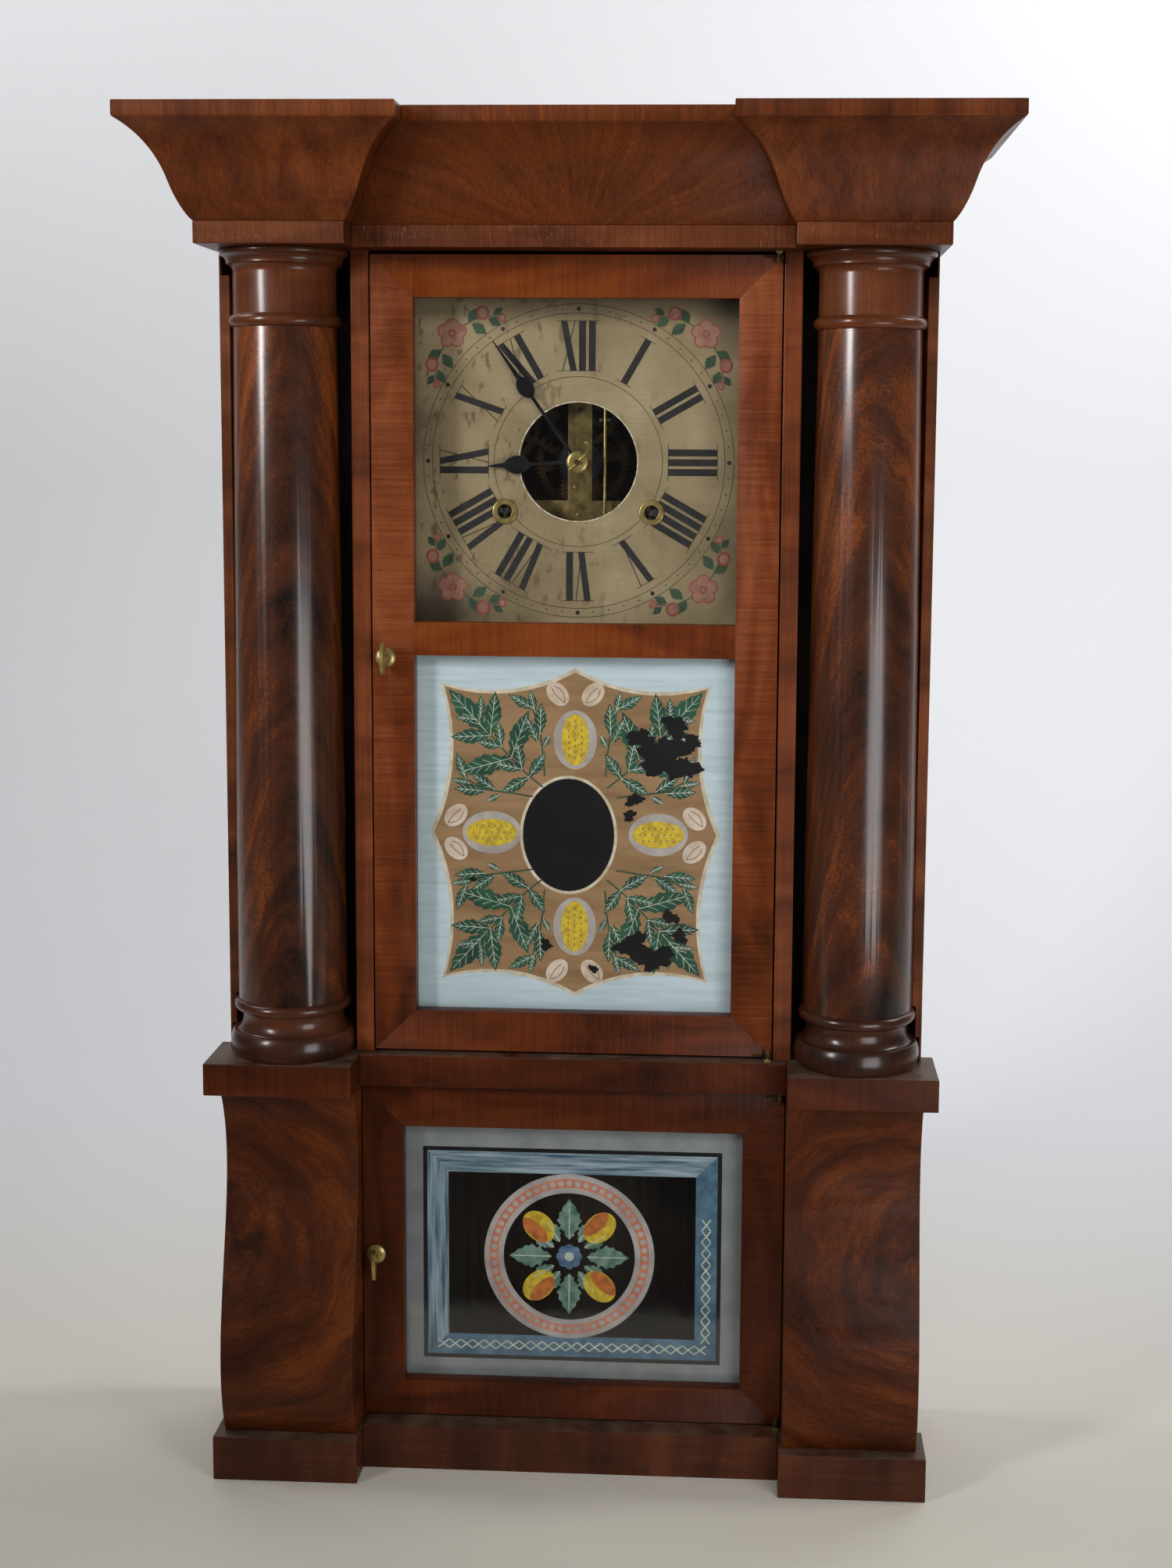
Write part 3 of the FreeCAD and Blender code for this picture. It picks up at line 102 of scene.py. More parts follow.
def ramp(value, *stops):
    """A colour scale read at a value, from (position, colour) stops."""
    made = shader_node(value.id_data, "ValToRGB", {0: value})
    elements = made.color_ramp.elements
    while len(elements) < len(stops):
        elements.new(0.5)
    for element, (position, colour) in zip(elements, stops):
        element.position = position
        element.color = srgb(*colour)
    return made.outputs[0]


def level(value, low, high):
    """How far a value lies between two levels, from 0 to 1."""
    return shader_node(value.id_data, "MapRange", {0: value, 1: low, 2: high}).outputs[0]


def axes(vector):
    """The X, Y and Z parts of a place or a direction."""
    return tuple(shader_node(vector.id_data, "SeparateXYZ", {0: vector}).outputs)


def facing(place):
    """The X, Y and Z parts of the way that a surface looks."""
    return axes(shader_node(place.id_data, "NewGeometry").outputs["Normal"])


def noise(place, scale, detail=3.0, distortion=0.0):
    """Soft mottling, its scale per metre given once or for each axis."""
    scale = (scale,) * 3 if isinstance(scale, int) else scale
    spread = shader_node(place.id_data, "Mapping", {"Vector": place, "Scale": scale})
    return shader_node(place.id_data, "TexNoise", {
        "Vector": spread.outputs[0], "Scale": 1.0, "Detail": detail, "Roughness": 0.6,
        "Distortion": distortion,
    }).outputs[0]


def new_material(name):
    """An empty material with its shader and its object coordinates."""
    material = bpy.data.materials.new(name)
    material.use_nodes = True
    tree = material.node_tree
    return material, tree.nodes["Principled BSDF"], shader_node(tree, "TexCoord").outputs["Object"]


def grain_scale(along, lengthwise, crosswise):
    """Noise scales for fibres that run along one axis."""
    return [lengthwise if axis == along else crosswise for axis in "XYZ"]


def roughen(shader, height, distance, strength=0.4):
    """A height pattern pressed into the surface."""
    pressed = {"Height": height, "Distance": distance, "Strength": strength}
    feed(shader, {"Normal": shader_node(shader.id_data, "Bump", pressed).outputs[0]})


def bare_pine(name, along, dark, light, outer=None):
    """Unfinished softwood with growth lines and blotches of soot, lighter and more banded on a face
    that looks out behind.
    """
    material, shader, place = new_material(name)
    lines = noise(place, grain_scale(along, 4, 160), 4)
    soot = level(noise(place, (9, 9, 7), 4), 0.4, 0.7)
    wood = ramp(lines, (0.32, dark), (0.68, light))
    if outer:
        outward = level(facing(place)[1], 0.3, 0.6)
        bands = noise(place, grain_scale(along, 1.5, 34), 3, 0.8)
        lighter_outside = ramp(weigh((lines, 0.4), (bands, 0.6)), (0.34, outer[0]), (0.66, outer[1]))
        wood = tint(outward, wood, lighter_outside)
        dark = tint(outward, dark, outer[0])
    feed(shader, {"Base Color": tint(soot, wood, dark), "Roughness": 0.85})
    roughen(shader, lines, 0.0004)
    return material


def finish_node(name, material):
    """A CAD piece shown as it is, with its own finish."""
    mesh = frame["nodes"][name].data
    mesh.materials.clear()
    mesh.materials.append(material)


finish_node("dial_cleats", bare_pine("dark_pine", "Z", (30, 21, 14), (60, 43, 28)))
level_pine = bare_pine("level_pine", "X", (52, 36, 24), (104, 76, 48))
for board in ("top_board", "bottom_board", "movement_rails"):
    finish_node(board, level_pine)

# Side boards, door posts and channel panels: pine faced with mahogany veneer where it shows.
# The panels behind the columns are painted flat black, and the posts' arrises are eased.

side_arris, post_arris = 0.0006, 0.0005
bodies = frame["record"]["behaviour"]["bodies"]
body_for = {node: body for body, nodes in bodies.items() for node in nodes}


def as_object(shape, name, material):
    """A finished mesh made an object in the scene."""
    mesh = bpy.data.meshes.new(name)
    shape.to_mesh(mesh)
    shape.free()
    mesh.shade_smooth()
    mesh.materials.append(material)
    made = bpy.data.objects.new(name, mesh)
    bpy.context.scene.collection.objects.link(made)
    return made


def show(shape, name, material, body):
    """A finished mesh made a piece that rides on a body."""
    made = as_object(shape, name, material)
    made.data.set_sharp_from_angle(angle=math.radians(25))
    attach(made, body)
    return made


def plain_copy(name):
    """A CAD piece's mesh, merged and with its flat faces made whole."""
    shape = bmesh.new()
    shape.from_mesh(frame["nodes"][name].data)
    bmesh.ops.remove_doubles(shape, verts=shape.verts, dist=0.000002)
    flat = math.radians(0.4)
    bmesh.ops.dissolve_limit(shape, angle_limit=flat, verts=shape.verts, edges=shape.edges)
    return shape


def eased(name, width, material):
    """A CAD piece with its sharp arrises rounded, as sanding and handling leave them."""
    shape = plain_copy(name)
    arrises = [edge for edge in shape.edges
               if edge.is_manifold and edge.calc_face_angle() > math.radians(35)]
    bmesh.ops.bevel(
        shape, geom=arrises, offset=width, offset_type="OFFSET", affect="EDGES", segments=2,
        profile=0.5, material=-1, clamp_overlap=True,
    )
    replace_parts(show(shape, name + "_eased", material, body_for[name]), name)


def ribbon_figure(along):
    """The light and dark bars that cross straight-grained mahogany."""
    def figure(place):
        return noise(place, grain_scale(along, 26, 7), 3, 0.6)
    return figure


def veneer(name, along, dark, middle, light, figure=None,
           dust=0.0, gloss=0.34, polish=0.0, wave=0.0004):
    """Mahogany veneer under old shellac, its grain along one axis, or along none in flame."""
    material, shader, place = new_material(name)
    fibres = noise(place, grain_scale(along, 16, 620), 4)
    pores = level(noise(place, grain_scale(along, 170, 2100), 2), 0.60, 0.70)
    bars = (figure or ribbon_figure(along))(place)
    wood = ramp(weigh((fibres, 0.26), (bars, 0.74)), (0.33, dark), (0.50, middle), (0.66, light))
    wood = tint(weigh((pores, 0.55)), wood, dark)
    lying = level(facing(place)[2], 0.7, 1.0)
    patchy = level(noise(place, 60, 5), 0.3, 0.75)
    settled = weigh((maths("MULTIPLY", lying, patchy), dust))
    worn = noise(place, 24, 4)
    feed(shader, {
        "Base Color": tint(settled, wood, (150, 135, 118)),
        "Roughness": weigh((worn, 0.22), (settled, 0.4), start=gloss - 0.08),
        "Specular IOR Level": 0.16, "Coat Weight": polish, "Coat Roughness": 0.2,
    })
    roughen(shader, weigh((worn, 2.2), (pores, -0.25)), wave, 0.5)
    return material


def finish_of(material):
    """A material's shader and object coordinates, and what feeds its colour and its roughness."""
    nodes = material.node_tree.nodes
    shader = nodes["Principled BSDF"]
    fed = [shader.inputs[name].links[0].from_socket for name in ("Base Color", "Roughness")]
    return shader, nodes["Texture Coordinate"].outputs["Object"], *fed


def joined(x, y, z):
    """A place put together from three values, the first of them a socket."""
    return shader_node(x.id_data, "CombineXYZ", {0: x, 1: y, 2: z}).outputs[0]


def bare_behind(material, along, front, both_ways=False):
    """Bare pine on faces that look back, and past a line on those that look inward or both ways."""
    shader, place, wood, polished = finish_of(material)
    x, y, z = axes(place)
    aside, rearward, _ = facing(place)
    if both_ways:
        sideways = maths("ABSOLUTE", aside)
    else:
        sideways = weigh((maths("MULTIPLY", maths("SIGN", x), aside), -1.0))
    covered = maths("MULTIPLY", sideways, level(y, front, front + 0.003))
    hidden = level(maths("MAXIMUM", rearward, covered), 0.5, 0.7)
    lines = noise(joined(maths("ADD", x, y), 0.0, z), grain_scale(along, 4, 160), 4)
    pine = ramp(lines, (0.32, (72, 50, 31)), (0.68, (124, 92, 60)))
    rough = maths("MAXIMUM", polished, weigh((hidden, 0.85)))
    feed(shader, {"Base Color": tint(hidden, wood, pine), "Roughness": rough})
    return material


black_paint, shader, place = new_material("flat_black_paint")
scuffs = noise(place, (40, 40, 12), 5)
scuffed = ramp(scuffs, (0.45, (26, 20, 18)), (0.75, (48, 38, 33)))
feed(shader, {"Base Color": scuffed, "Roughness": 0.6})
finish_node("channel_panels", black_paint)
side_veneer = veneer("side_veneer", "Z", (60, 32, 20), (98, 54, 32), (126, 72, 43))
eased("side_boards", side_arris, bare_behind(side_veneer, "Z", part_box("channel_panels")[1].y))
post_veneer = veneer("post_veneer", "Z", (62, 29, 15), (98, 48, 24), (124, 66, 36))
eased("door_posts", post_arris, bare_behind(post_veneer, "Z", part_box("upper_door_stiles")[1].y))

# Back: three pine boards set upright edge to edge, with open joints, flush with the case sides.
# They are bare, brown with age outside and dark brown inside, and nailed on from behind.

back_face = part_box("back_board")[1].y
board_joints = (-0.071, 0.079)
joint_half, joint_deep, nail_stand = 0.0011, 0.0018, 0.0005
near = 0.0001
# The inner face is dark brown and the outer face a lighter banded brown.
back_pine = bare_pine("back_pine", "Z", (30, 21, 14), (60, 43, 28), ((88, 62, 38), (146, 110, 72)))
boards = plain_copy("back_board")
for joint in board_joints:
    for cut in (joint - joint_half, joint, joint + joint_half):
        bmesh.ops.bisect_plane(
            boards, geom=[*boards.verts, *boards.edges, *boards.faces], dist=0.000001,
            plane_co=(cut, 0, 0), plane_no=(1, 0, 0),
        )
outer_face = [corner for corner in boards.verts if corner.co.y > back_face - near]
in_joint = [corner for corner in outer_face
            if min(abs(corner.co.x - joint) for joint in board_joints) < near]
bmesh.ops.translate(boards, verts=outer_face, vec=(0, -nail_stand, 0))
bmesh.ops.translate(boards, verts=in_joint, vec=(0, -joint_deep, 0))
made = show(boards, "back_boards", back_pine, body_for["back_board"])
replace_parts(made, "back_board")

# Cornice: ogee mouldings of pine, faced with flame mahogany laid across the run and mitred.
# The middle length shows a feather of flame that spreads from its foot.

feather_x, feather_z = 0.004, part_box("centre_cornice")[0].z - 0.012
corner_back, centre_back = -0.017, -0.060
cornice_arris = 0.0007


def distance(across, up):
    """How far a place lies from a middle, from its shifts in two directions."""
    return maths("SQRT", maths("ADD", maths("POWER", across, 2.0), maths("POWER", up, 2.0)))


def feather_figure(place):
    """Streaks that fan out from one point at the foot of the moulding."""
    x, _, z = axes(place)
    across, up = maths("SUBTRACT", x, feather_x), maths("SUBTRACT", z, feather_z)
    lean = weigh((noise(place, 14, 2), 0.3), start=maths("ARCTAN2", across, up))
    streaks = noise(joined(lean, distance(across, up), 0.0), (18, 6, 1), 3)
    return weigh((streaks, 0.34), (noise(place, (9, 9, 14), 3), 0.64))


def cloudy_figure(place):
    """Soft blotches crossed by upright streaks, as cross-cut flame shows on a curve."""
    return weigh((noise(place, (10, 10, 16), 2), 0.45), (noise(place, (75, 75, 7), 3), 0.55))


corner_veneer = veneer("cornice_veneer", "Z", (46, 21, 12), (86, 41, 18), (118, 61, 26),
                       cloudy_figure)
feather_veneer = veneer("feather_veneer", "Z", (50, 23, 10), (92, 43, 16), (132, 66, 22),
                        feather_figure)
bare_behind(corner_veneer, "X", corner_back)
bare_behind(feather_veneer, "X", centre_back, True)
eased("left_cornice", cornice_arris, corner_veneer)
eased("right_cornice", cornice_arris, corner_veneer)
eased("centre_cornice", cornice_arris, feather_veneer)

# Capital blocks and frieze rail: square blocks under the cornice, with coarse veneer laid upright.
# The pores have filled with pale polish, which shows as short light flecks.

rail_arris, block_arris = 0.0005, 0.0006


def flecked(material):
    """Short pale flecks where polish has dried in the pores."""
    shader, place, wood, _ = finish_of(material)
    flecks = level(noise(place, grain_scale("Z", 190, 1500), 2), 0.62, 0.72)
    patches = level(noise(place, 14, 3), 0.4, 0.7)
    share = weigh((maths("MULTIPLY", flecks, patches), 0.55))
    feed(shader, {"Base Color": tint(share, wood, (190, 150, 125))})
    return material


frieze_veneer = flecked(veneer("frieze_veneer", "Z", (49, 23, 12), (82, 40, 19), (108, 59, 32)))
eased("frieze_rail", rail_arris, frieze_veneer)
eased("capital_blocks", block_arris, frieze_veneer)

# Columns: turned capitals and bases, and shafts veneered with matched flame that rises in arches.
# Old shellac has crazed and run, so the long highlights on the shafts are uneven.

shaft_low, shaft_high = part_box("column_shafts")
shaft_r = 0.0339
column_x, column_y = shaft_high.x - shaft_r, (shaft_low.y + shaft_high.y) / 2
turning_arris = 0.0003


def column_flame(place):
    """Flame that climbs each shaft in nested arches, darker in its heart, with painted light that
    lightens the upper part of each shaft and leaves its foot darker.
    """
    x, y, z = axes(place)
    side = maths("SIGN", x)
    round_way = maths("ARCTAN2", weigh((side, -column_x), start=x), maths("SUBTRACT", column_y, y))
    off = maths("ABSOLUTE", maths("SUBTRACT", round_way, 0.3))
    arch = weigh((maths("POWER", off, 2.0), 0.05), (noise(place, (15, 15, 5), 3), 0.11), start=z)
    flame = noise(joined(round_way, side, arch), (0.7, 1.7, 48), 4)
    clouds = noise(place, (22, 22, 9), 4, 0.5)
    # Painted light: the upper part of each shaft is lightened and its foot left darker, as the
    # light from above falls off downward.
    heart, upper = level(off, 0.9, 0.1), level(z, 0.34, 0.58)
    return weigh((flame, 0.52), (clouds, 0.50), (heart, -0.09), (upper, 0.08), start=-0.055)


flame_veneer = veneer("flame_veneer", "", (22, 11, 7), (72, 35, 16), (138, 71, 26), column_flame,
                      polish=1.0, wave=0.0012)
turned_mahogany = veneer("turned_mahogany", "Z", (52, 25, 13), (84, 42, 20), (108, 57, 28),
                         dust=0.06, polish=0.55)
dark_turning = veneer("dark_turning", "Z", (34, 17, 10), (60, 30, 17), (84, 44, 25),
                      dust=0.06, polish=0.7)
eased("column_shafts", turning_arris, flame_veneer)
eased("column_capitals", turning_arris, turned_mahogany)
eased("column_bases", turning_arris, dark_turning)

# Ledge, pilasters, feet and plinth: the lower stage, veneered over pine blocks.
# Dust has settled on the upper faces, and the pilasters show a swirl of flame.

swirl_x, swirl_z = 0.212, 0.152
pilaster_arris, ledge_arris = 0.0008, 0.0006


def swirl_figure(place):
    """Matched flame, whose bars bend round a dark eye at the outer edge of each pilaster."""
    x, _, z = axes(place)
    aside = maths("SUBTRACT", swirl_x, maths("ABSOLUTE", x))
    rise = maths("SUBTRACT", z, swirl_z)
    bend = weigh((noise(place, 12, 1), 0.06), start=distance(aside, rise))
    bars = joined(bend, maths("ARCTAN2", rise, aside), x)
    flame, fibres = noise(bars, (52, 0.8, 6), 3), noise(bars, (600, 7, 6), 2)
    return weigh((flame, 0.80), (fibres, 0.22), (level(bend, 0.10, 0.04), -0.05))


swirl_veneer = veneer("swirl_veneer", "", (32, 13, 6), (68, 30, 9), (104, 50, 14), swirl_figure,
                      dust=0.1, gloss=0.46)
ledge_veneer = veneer("ledge_veneer", "Z", (41, 17, 7), (68, 29, 11), (90, 42, 18), dust=0.5)
foot_veneer = veneer("foot_veneer", "X", (44, 22, 13), (68, 34, 20), (88, 47, 28),
                     dust=0.4, gloss=0.36)
eased("pilasters", pilaster_arris, swirl_veneer)
for block, finish in (("ledge_blocks", ledge_veneer), ("centre_ledge", ledge_veneer),
                      ("foot_blocks", foot_veneer), ("centre_plinth", foot_veneer)):
    eased(block, ledge_arris, finish)

# Dial: a pine board painted ivory and gone yellow, with soot at two corners and brown foxing.
# Rings, minute dots, Roman hours and corner sprays are painted by hand in thin oil colour.


def spread_of(name):
    """The middle of a flat piece in x and z, and half of its width and of its height."""
    low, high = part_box(name)
    return (low.x + high.x) / 2, (low.z + high.z) / 2, (high.x - low.x) / 2, (high.z - low.z) / 2


dial_x, dial_z = spread_of("dial_glass")[:2]
dial_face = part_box("dial_board")[0].y
dial_arris, dial_film, hair = 0.0003, 0.00003, 0.0000003
hole_r, rim_wide = 0.0364, 0.0006
hour_inner, hour_outer = 0.0553, 0.0856
line_wide, line_rings = 0.00042, (0.0519, 0.0903, 0.0958)
dot_ring, hour_dot, minute_dot = 0.0931, 0.00135, 0.0005
grime_places = ((0.098, 0.098, 0.034), (-0.094, -0.098, 0.040), (-0.100, 0.02, 0.02))

ivory_paint, shader, place = new_material("aged_ivory_paint")
x, _, z = axes(place)
ivory = ramp(noise(place, 16, 5),
             (0.3, (110, 94, 66)), (0.5, (139, 122, 91)), (0.72, (160, 144, 112)))
foxing = level(noise(place, (150, 150, 70), 4), 0.57, 0.66)
leftward = level(x, dial_x + 0.07, dial_x - 0.07)
foxing = maths("MULTIPLY", foxing, weigh((leftward, 0.65), start=0.10))
ivory = tint(foxing, ivory, (78, 56, 30))
weave = level(noise(place, (40, 40, 1300), 2), 0.35, 0.7)
ivory = tint(weigh((weave, 0.16)), ivory, (92, 76, 50))
for aside, rise, reach in grime_places:
    away = distance(maths("SUBTRACT", x, dial_x + aside), maths("SUBTRACT", z, dial_z + rise))
    ragged = weigh((noise(place, 50, 4), 0.03), start=away)
    smudge = level(ragged, reach + 0.016, reach - 0.012)
    ivory = tint(weigh((smudge, 0.8)), ivory, (58, 48, 40))
feed(shader, {"Base Color": ivory, "Roughness": 0.62})
roughen(shader, noise(place, 900, 2), 0.00015)
eased("dial_board", dial_arris, ivory_paint)


def oil_colour(name, colour, shade, streak=60, rough=0.5):
    """Hand-laid paint, thin and uneven, between a colour and its shade."""
    material, shader, place = new_material(name)
    laid = ramp(noise(place, streak, 4), (0.35, shade), (0.62, colour))
    feed(shader, {"Base Color": laid, "Roughness": rough})
    return material


def only(kind, parts):
    """The vertices, edges or faces among the parts of a mesh."""
    return [part for part in parts if isinstance(part, kind)]


def film(name, outlines, front, thick, material, body):
    """Flat patches of paint, each raised from its outline in (x, z), a hair behind the last."""
    shape = bmesh.new()
    for count, outline in enumerate(outlines):
        deep = front + count % 40 * hair
        shape.faces.new([shape.verts.new((x, deep, z)) for x, z in outline])
    grown = bmesh.ops.extrude_face_region(shape, geom=shape.faces[:])
    bmesh.ops.translate(shape, verts=only(bmesh.types.BMVert, grown["geom"]), vec=(0, thick, 0))
    bmesh.ops.recalc_face_normals(shape, faces=shape.faces)
    show(shape, name, material, body)


def hoops(name, rings, middle, front, thick, material, body, steps=128):
    """Painted rings, each a small square section spun about the middle."""
    shape = bmesh.new()
    for inner, outer in rings:
        square = [(inner, 0), (outer, 0), (outer, thick), (inner, thick)]
        section = shape.faces.new([shape.verts.new((middle[0] + far, front + deep, middle[1]))
                                   for far, deep in square])
        edges = section.edges[:]
        shape.faces.remove(section)
        bmesh.ops.spin(
            shape, geom=edges, cent=(middle[0], front, middle[1]), axis=(0, 1, 0),
            angle=2 * math.pi, steps=steps, use_merge=True,
        )
    bmesh.ops.remove_doubles(shape, verts=shape.verts, dist=0.000001)
    bmesh.ops.recalc_face_normals(shape, faces=shape.faces)
    show(shape, name, material, body)


def dial_coats(name, outlines, coats, paint):
    """Paint on the dial, as thick as a number of coats."""
    thick = dial_film * coats
    film(name, outlines, dial_face - thick, thick, paint, "case")


def dial_hoops(name, rings, coats, paint):
    """Rings round the middle of the dial."""
    thick = dial_film * coats
    hoops(name, rings, (dial_x, dial_z), dial_face - thick, thick, paint, "case")


def oval(spot, half_wide, half_high, count=24, turn=0.0):
    """The outline of an ellipse, turned by an angle."""
    points = []
    for step in range(count):
        angle = 2 * math.pi * step / count
        across, up = half_wide * math.cos(angle), half_high * math.sin(angle)
        points.append((spot[0] + across * math.cos(turn) - up * math.sin(turn),
                       spot[1] + across * math.sin(turn) + up * math.cos(turn)))
    return points


def disc(spot, radius, count):
    """The outline of a round dab of paint."""
    return oval(spot, radius, radius, count)


def round_dial(angle, across, out):
    """A place out from the dial's centre at a clockwise angle, and to the side of that line."""
    turn = math.radians(angle)
    return (dial_x + across * math.cos(turn) + out * math.sin(turn),
            dial_z - across * math.sin(turn) + out * math.cos(turn))


numeral_paint = oil_colour("blue_black_paint", (22, 21, 24), (36, 33, 32), 90, 0.55)
line_paint = oil_colour("brown_line_paint", (50, 38, 24), (76, 60, 40), 200, 0.6)
stroke_wide, stroke_fine = 0.0043, 0.0006
serif_past, serif_high = 0.0022, stroke_fine * 0.7
hour_strokes = {"I": [(0, 0, stroke_wide)],
                "V": [(-0.0031, 0.0009, stroke_wide * 0.95), (0.0040, 0.0008, stroke_fine)],
                "X": [(-0.0030, 0.0030, stroke_wide * 0.95), (0.0038, -0.0038, stroke_fine)]}
hour_widths = {"I": 0.0060, "V": 0.0102, "X": 0.0108}
hours = ("XII", "I", "II", "III", "IIII", "V", "VI", "VII", "VIII", "IX", "X", "XI")
strokes, serifs = [], []
for count, hour in enumerate(hours):
    angle = count * 30
    half = sum(hour_widths[letter] for letter in hour) / 2
    start = -half
    for letter in hour:
        middle = start + hour_widths[letter] / 2
        for top, bottom, wide in hour_strokes[letter]:
            strokes.append([
                round_dial(angle, middle + bottom - wide / 2, hour_inner),
                round_dial(angle, middle + bottom + wide / 2, hour_inner),
                round_dial(angle, middle + top + wide / 2, hour_outer),
                round_dial(angle, middle + top - wide / 2, hour_outer),
            ])
        start += hour_widths[letter]
    for out in (hour_inner, hour_outer):
        serifs.append([round_dial(angle, side * (half + serif_past), out + up)
                       for side, up in ((-1, 0), (1, 0), (1, serif_high), (-1, serif_high))])
dots = [disc(round_dial(minute * 6, 0, dot_ring), minute_dot if minute % 5 else hour_dot, 12)
        for minute in range(60)]
worn_rim = oil_colour("bared_wood_rim", (226, 218, 200), (150, 128, 96), 300, 0.8)
dial_coats("dial_hours", strokes, 1, numeral_paint)
dial_coats("dial_serifs", serifs, 1.6, line_paint)
dial_hoops("dial_rings", [(radius, radius + line_wide) for radius in line_rings], 1, line_paint)
dial_coats("dial_dots", dots, 1, numeral_paint)
dial_hoops("dial_hole_rim", [(hole_r, hole_r + rim_wide)], 2, worn_rim)

leaf_half = ((0.0, 0.0), (0.10, 0.40), (0.17, 0.36), (0.28, 0.80), (0.34, 0.66), (0.46, 1.0),
             (0.52, 0.80), (0.63, 0.84), (0.69, 0.58), (0.80, 0.52), (0.85, 0.30), (1.0, 0.0))


def leaf(root, turn, length, half_wide):
    """A toothed leaf that grows from its root at an angle from the X direction."""
    sides = [*leaf_half, *((far, -up) for far, up in leaf_half[-2:0:-1])]
    return [(root[0] + far * length * math.cos(turn) - up * half_wide * math.sin(turn),
             root[1] + far * length * math.sin(turn) + up * half_wide * math.cos(turn))
            for far, up in sides]


def line(points, wide):
    """Quads that follow a few points as one painted line."""
    quads = []
    for start, end in zip(points, points[1:]):
        ahead = Vector((end[0] - start[0], end[1] - start[1])).normalized() * wide / 2
        x, z = ahead.y, -ahead.x
        quads.append([(start[0] + x, start[1] + z), (end[0] + x, end[1] + z),
                      (end[0] - x, end[1] - z), (start[0] - x, start[1] - z)])
    return quads


def out_from(spot, far, turn):
    """The place at a distance from a spot, at an angle from the X direction."""
    return spot[0] + far * math.cos(turn), spot[1] + far * math.sin(turn)


flower_out, petal_out, petal_edge, petal_r = 0.0780, 0.0050, 0.0044, 0.0036
eye_edge, eye_r, sprig_wide = 0.0026, 0.0013, 0.0007
sprig_line = ((-0.006, 0.004), (-0.014, 0.0085), (-0.022, 0.0105), (-0.030, 0.0095))
sprig_berries = ((-0.0190, 0.0125, 0.0042), (-0.0310, 0.0095, 0.0025))
sprig_leaves = ((-0.0105, 0.0065, 118, 0.0100), (-0.0125, 0.0060, 216, 0.0110),
                (-0.0225, 0.0090, 208, 0.0090), (-0.0255, 0.0110, 142, 0.0075))


def on_sprig(corner, upright, out, across):
    """A place on one of the two sprigs of a corner's flower, out from the flower and across."""
    x, z = (across, out) if upright else (out, across)
    return dial_x + corner[0] * (flower_out + x), dial_z + corner[1] * (flower_out + z)


rose_paint = oil_colour("rose_paint", (150, 112, 92), (132, 88, 76), 160)
rose_line = oil_colour("rose_line_paint", (126, 56, 50), (140, 78, 68), 160)
leaf_paint = oil_colour("dial_leaf_paint", (58, 78, 54), (42, 60, 44), 160)
four_corners = ((-1, -1), (-1, 1), (1, -1), (1, 1))
petals, outlines, berries, highlights, leaves, stems = [], [], [], [], [], []
for corner in four_corners:
    flower = (dial_x + corner[0] * flower_out, dial_z + corner[1] * flower_out)
    for petal in range(5):
        spot = out_from(flower, petal_out, math.radians(petal * 72 + 90))
        outlines.append(disc(spot, petal_edge, 16))
        petals.append(disc(spot, petal_r, 16))
    berries.append(disc(flower, eye_edge, 14))
    highlights.append(disc(flower, eye_r, 10))
    for upright in (True, False):
        stems += line([on_sprig(corner, upright, *spot) for spot in sprig_line], sprig_wide)
        for out, across, size in sprig_berries:
            spot = on_sprig(corner, upright, out, across)
            berries.append(oval(spot, size, size * 1.08, 16))
            highlights.append(oval(spot, size * 0.66, size * 0.72, 14))
        for out, across, angle, length in sprig_leaves:
            root = on_sprig(corner, upright, out, across)
            tip = on_sprig(corner, upright, *out_from((out, across), length, math.radians(angle)))
            turn = math.atan2(tip[1] - root[1], tip[0] - root[0])
            leaves.append(leaf(root, turn, length, length * 0.33))
dial_coats("dial_stems", stems, 0.8, leaf_paint)
dial_coats("dial_leaves", leaves, 1.5, leaf_paint)
dial_coats("dial_flower_edges", outlines, 2.2, rose_line)
dial_coats("dial_flower_petals", petals, 3, rose_paint)
dial_coats("dial_berries", berries, 3.8, rose_line)
dial_coats("dial_berry_lights", highlights, 4.6, rose_paint)

# Brass work: winding grommets, strap plates, wheels, bell and hinge pins, cast or cut from sheet.
# It was once polished, and has dulled to brown in the hollows and green-gold on the rims.

grommet_arris, plate_arris, pin_arris = 0.0003, 0.0002, 0.0001


def old_brass(name, dark, bright, rough):
    """Brass with a brown patina that is thinnest where it is handled."""
    material, shader, place = new_material(name)
    patina = noise(place, 140, 5)
    feed(shader, {
        "Base Color": ramp(patina, (0.35, dark), (0.66, bright)),
        "Roughness": weigh((patina, -0.25), start=rough + 0.12), "Metallic": 0.7,
    })
    roughen(shader, noise(place, 700, 3), 0.000015)
    return material


bright_brass = old_brass("handled_brass", (132, 112, 62), (196, 176, 112), 0.36)
plate_brass = old_brass("plate_brass", (92, 76, 44), (146, 126, 80), 0.42)
wheel_brass = old_brass("wheel_brass", (48, 33, 18), (84, 62, 34), 0.55)
eased("winding_grommets", grommet_arris, bright_brass)
eased("front_plate", plate_arris, plate_brass)
eased("hinge_pins", pin_arris, bright_brass)
for name in ("back_plate", "bell", "time_great_wheel", "centre_wheel", "third_wheel",
             "escape_wheel", "strike_great_wheel", "pin_wheel", "fly", "minute_wheel"):
    finish_node(name, wheel_brass)

# Strap rivets: three brass rivets in the upright strap of the front plate, seen through the dial.
# Their heads are hammered to low domes and have been rubbed bright.

